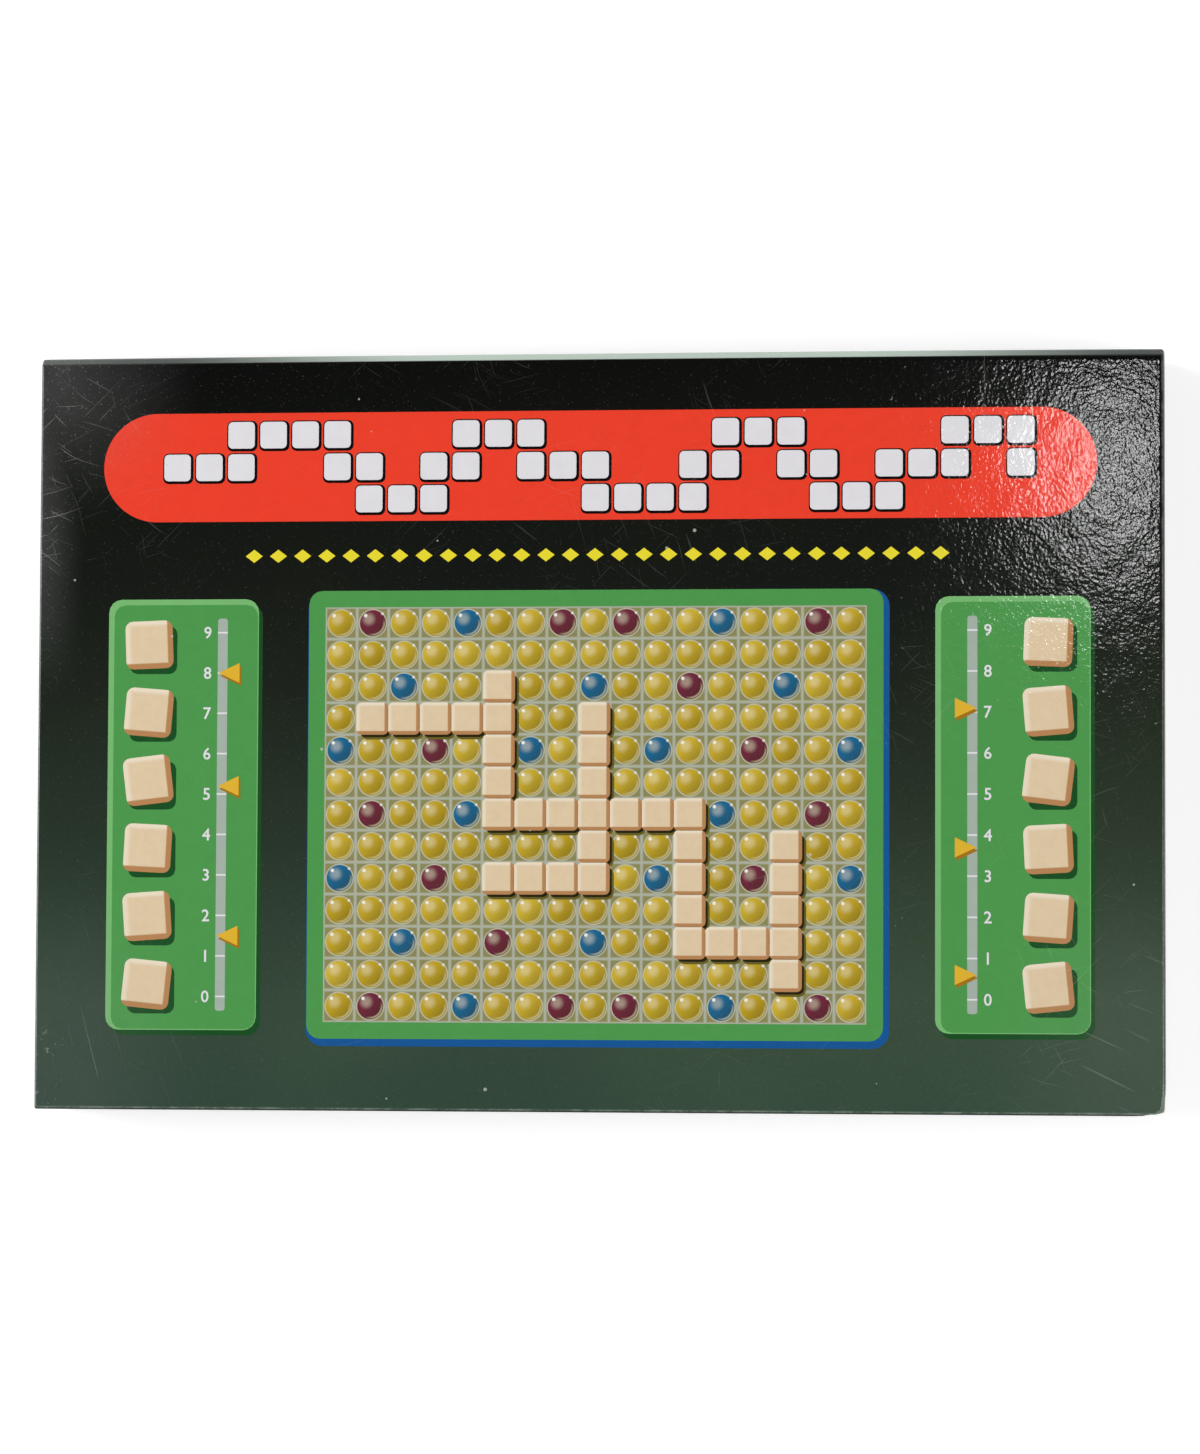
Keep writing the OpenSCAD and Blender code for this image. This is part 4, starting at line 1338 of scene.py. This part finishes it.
def ink_material(name, colour, roughness):
    """Ink printed on plastic or card, a little uneven."""
    material, nodes, shader = new_material(name)
    position = nodes.position()
    patchy = nodes.noise(position, 1500, 3.0, 0.65)
    thin = tuple(0.8 * value + 0.03 for value in colour[:3]) + (1.0,)
    set_surface(nodes, shader, Base_Color=nodes.mix(patchy, colour, thin),
                Roughness=nodes.scaled(patchy, roughness - 0.08, roughness + 0.08))
    return material


MATERIALS = {
    "lid_ground": lid_ground("lid_ground", 0.07),
    "lid_walls": lid_walls(),
    "greyboard": paper_material("greyboard", (148, 143, 132), (186, 181, 168), 0.92, 0.6, (96, 90, 82),
                                0.04 * MM, 0.6),
    "tray_paper": tray_paper(),
    "white_card": paper_material("white_card", (214, 212, 204), (232, 230, 224), 0.75),
    "leaflet_paper": paper_material("leaflet_paper", (224, 221, 208), (236, 233, 222), 0.8, 0.12),
    "blue_vinyl": blue_vinyl(),
    "play_green": play_green(),
    "play_grid": play_grid(),
    "clear_sheet": clear_plastic(),
    "rack_green": plastic("rack_green", (58, 142, 64), (74, 162, 80), 0.3, 0.02 * MM, 0.08),
    "pointer_yellow": plastic("pointer_yellow", (226, 172, 40), (238, 190, 60), 0.32, 0.02 * MM, 0.15),
    "tile_ivory": plastic("tile_ivory", (208, 202, 184), (226, 221, 205), 0.34, 0.015 * MM, 0.1),
    "black_ink": ink_material("black_ink", srgb(18, 17, 17), 0.4),
    "green_ink": ink_material("green_ink", srgb(70, 146, 76), 0.55),
    "grey_ink": ink_material("grey_ink", srgb(92, 94, 96), 0.6),
    "white_ink": ink_material("white_ink", srgb(226, 228, 222), 0.5),
    "slot_grey": ink_material("slot_grey", srgb(190, 198, 190), 0.45),
}


# ---------------------------------------------------------------- studio

CAMERA_PLACE = Vector((160.4 * MM, -81.6 * MM, LID_HIGH.z + 1473.1 * MM))
CAMERA_TURN = (3.225, 6.132, 0.259)
CAMERA_LENS, FILM_WIDTH = 148.67, 36.0


def camera():
    data = bpy.data.cameras.new("camera")
    data.sensor_fit, data.sensor_width, data.lens = "HORIZONTAL", FILM_WIDTH, CAMERA_LENS
    data.clip_end = 20
    holder = bpy.data.objects.new("camera", data)
    holder.location = CAMERA_PLACE
    holder.rotation_euler = [math.radians(angle) for angle in CAMERA_TURN]
    scene.collection.objects.link(holder)
    scene.camera = holder


def lamp(name, place_at, aim, width, height, power):
    data = bpy.data.lights.new(name, "AREA")
    data.shape, data.size, data.size_y, data.energy = "RECTANGLE", width, height, power
    holder = bpy.data.objects.new(name, data)
    holder.location = place_at
    holder.rotation_euler = (Vector(aim) - Vector(place_at)).to_track_quat("-Z", "Y").to_euler()
    scene.collection.objects.link(holder)


def floor():
    """A plain pale floor. What the camera sees of it is lifted to white, and it keeps the shadow."""
    bm = bmesh.new()
    bmesh.ops.create_grid(bm, x_segments=1, y_segments=1, size=4)
    bmesh.ops.translate(bm, vec=(0, 0, TRAY_FOOT - 0.3 * MM), verts=bm.verts)
    mesh = as_mesh(bm, "floor")
    made = bpy.data.objects.new("floor", mesh)
    scene.collection.objects.link(made)
    material, nodes, shader = new_material("floor")
    set_surface(nodes, shader, Base_Color=(0.8, 0.8, 0.8, 1), Roughness=0.9, Emission_Color=(1, 1, 1, 1))
    path = nodes.add("LightPath", {}).outputs
    seen = nodes.most(path["Is Camera Ray"],
                      nodes.most(path["Is Glossy Ray"], path["Is Transmission Ray"]))
    nodes.feed(shader.inputs["Emission Strength"], nodes.times(seen, 0.52))
    mesh.materials.append(material)


def world():
    """Pale round the horizon and dark overhead, as in a studio with a black ceiling."""
    data = bpy.data.worlds.new("studio")
    data.use_nodes = True
    nodes = Nodes(data.node_tree)
    background = data.node_tree.nodes["Background"]
    up = nodes.axes(nodes.add("TexCoord", {}).outputs["Generated"])[2]
    walls = nodes.mix(nodes.step(up, 0.35, 0.8), (0.62, 0.62, 0.62, 1), (0.02, 0.02, 0.02, 1))
    seen = nodes.add("LightPath", {}).outputs["Is Camera Ray"]
    nodes.feed(background.inputs["Color"], nodes.mix(seen, walls, (1, 1, 1, 1)))
    scene.world = data


def studio():
    camera()
    floor()
    world()
    lamp("left softbox", (-1.5, 0.3, 1.25), (0, 0, 0), 1.1, 1.1, 26)
    lamp("right softbox", (1.5, -0.5, 1.25), (0, 0, 0), 1.1, 1.1, 20)
    lamp("top light", (0.15, 0.24, 1.53), (0.15, 0.08, 0), 0.04, 0.11, 0.25)
    scene.view_settings.view_transform = "Standard"


# ---------------------------------------------------------------- everything

lid_skin()
lid_core()
lid_print()
tray_skin()
tray_core()
for node in ("deck", "tile_well", "rack_cradle"):
    card_piece(node)
leaflet()
board_cover()
edge_rim()
play_print()
clear_sheet()
frame["nodes"]["board_core"].data.materials.clear()
frame["nodes"]["board_core"].data.materials.append(MATERIALS["greyboard"])
tiles()
for number in range(1, 5):
    rack(number)
studio()
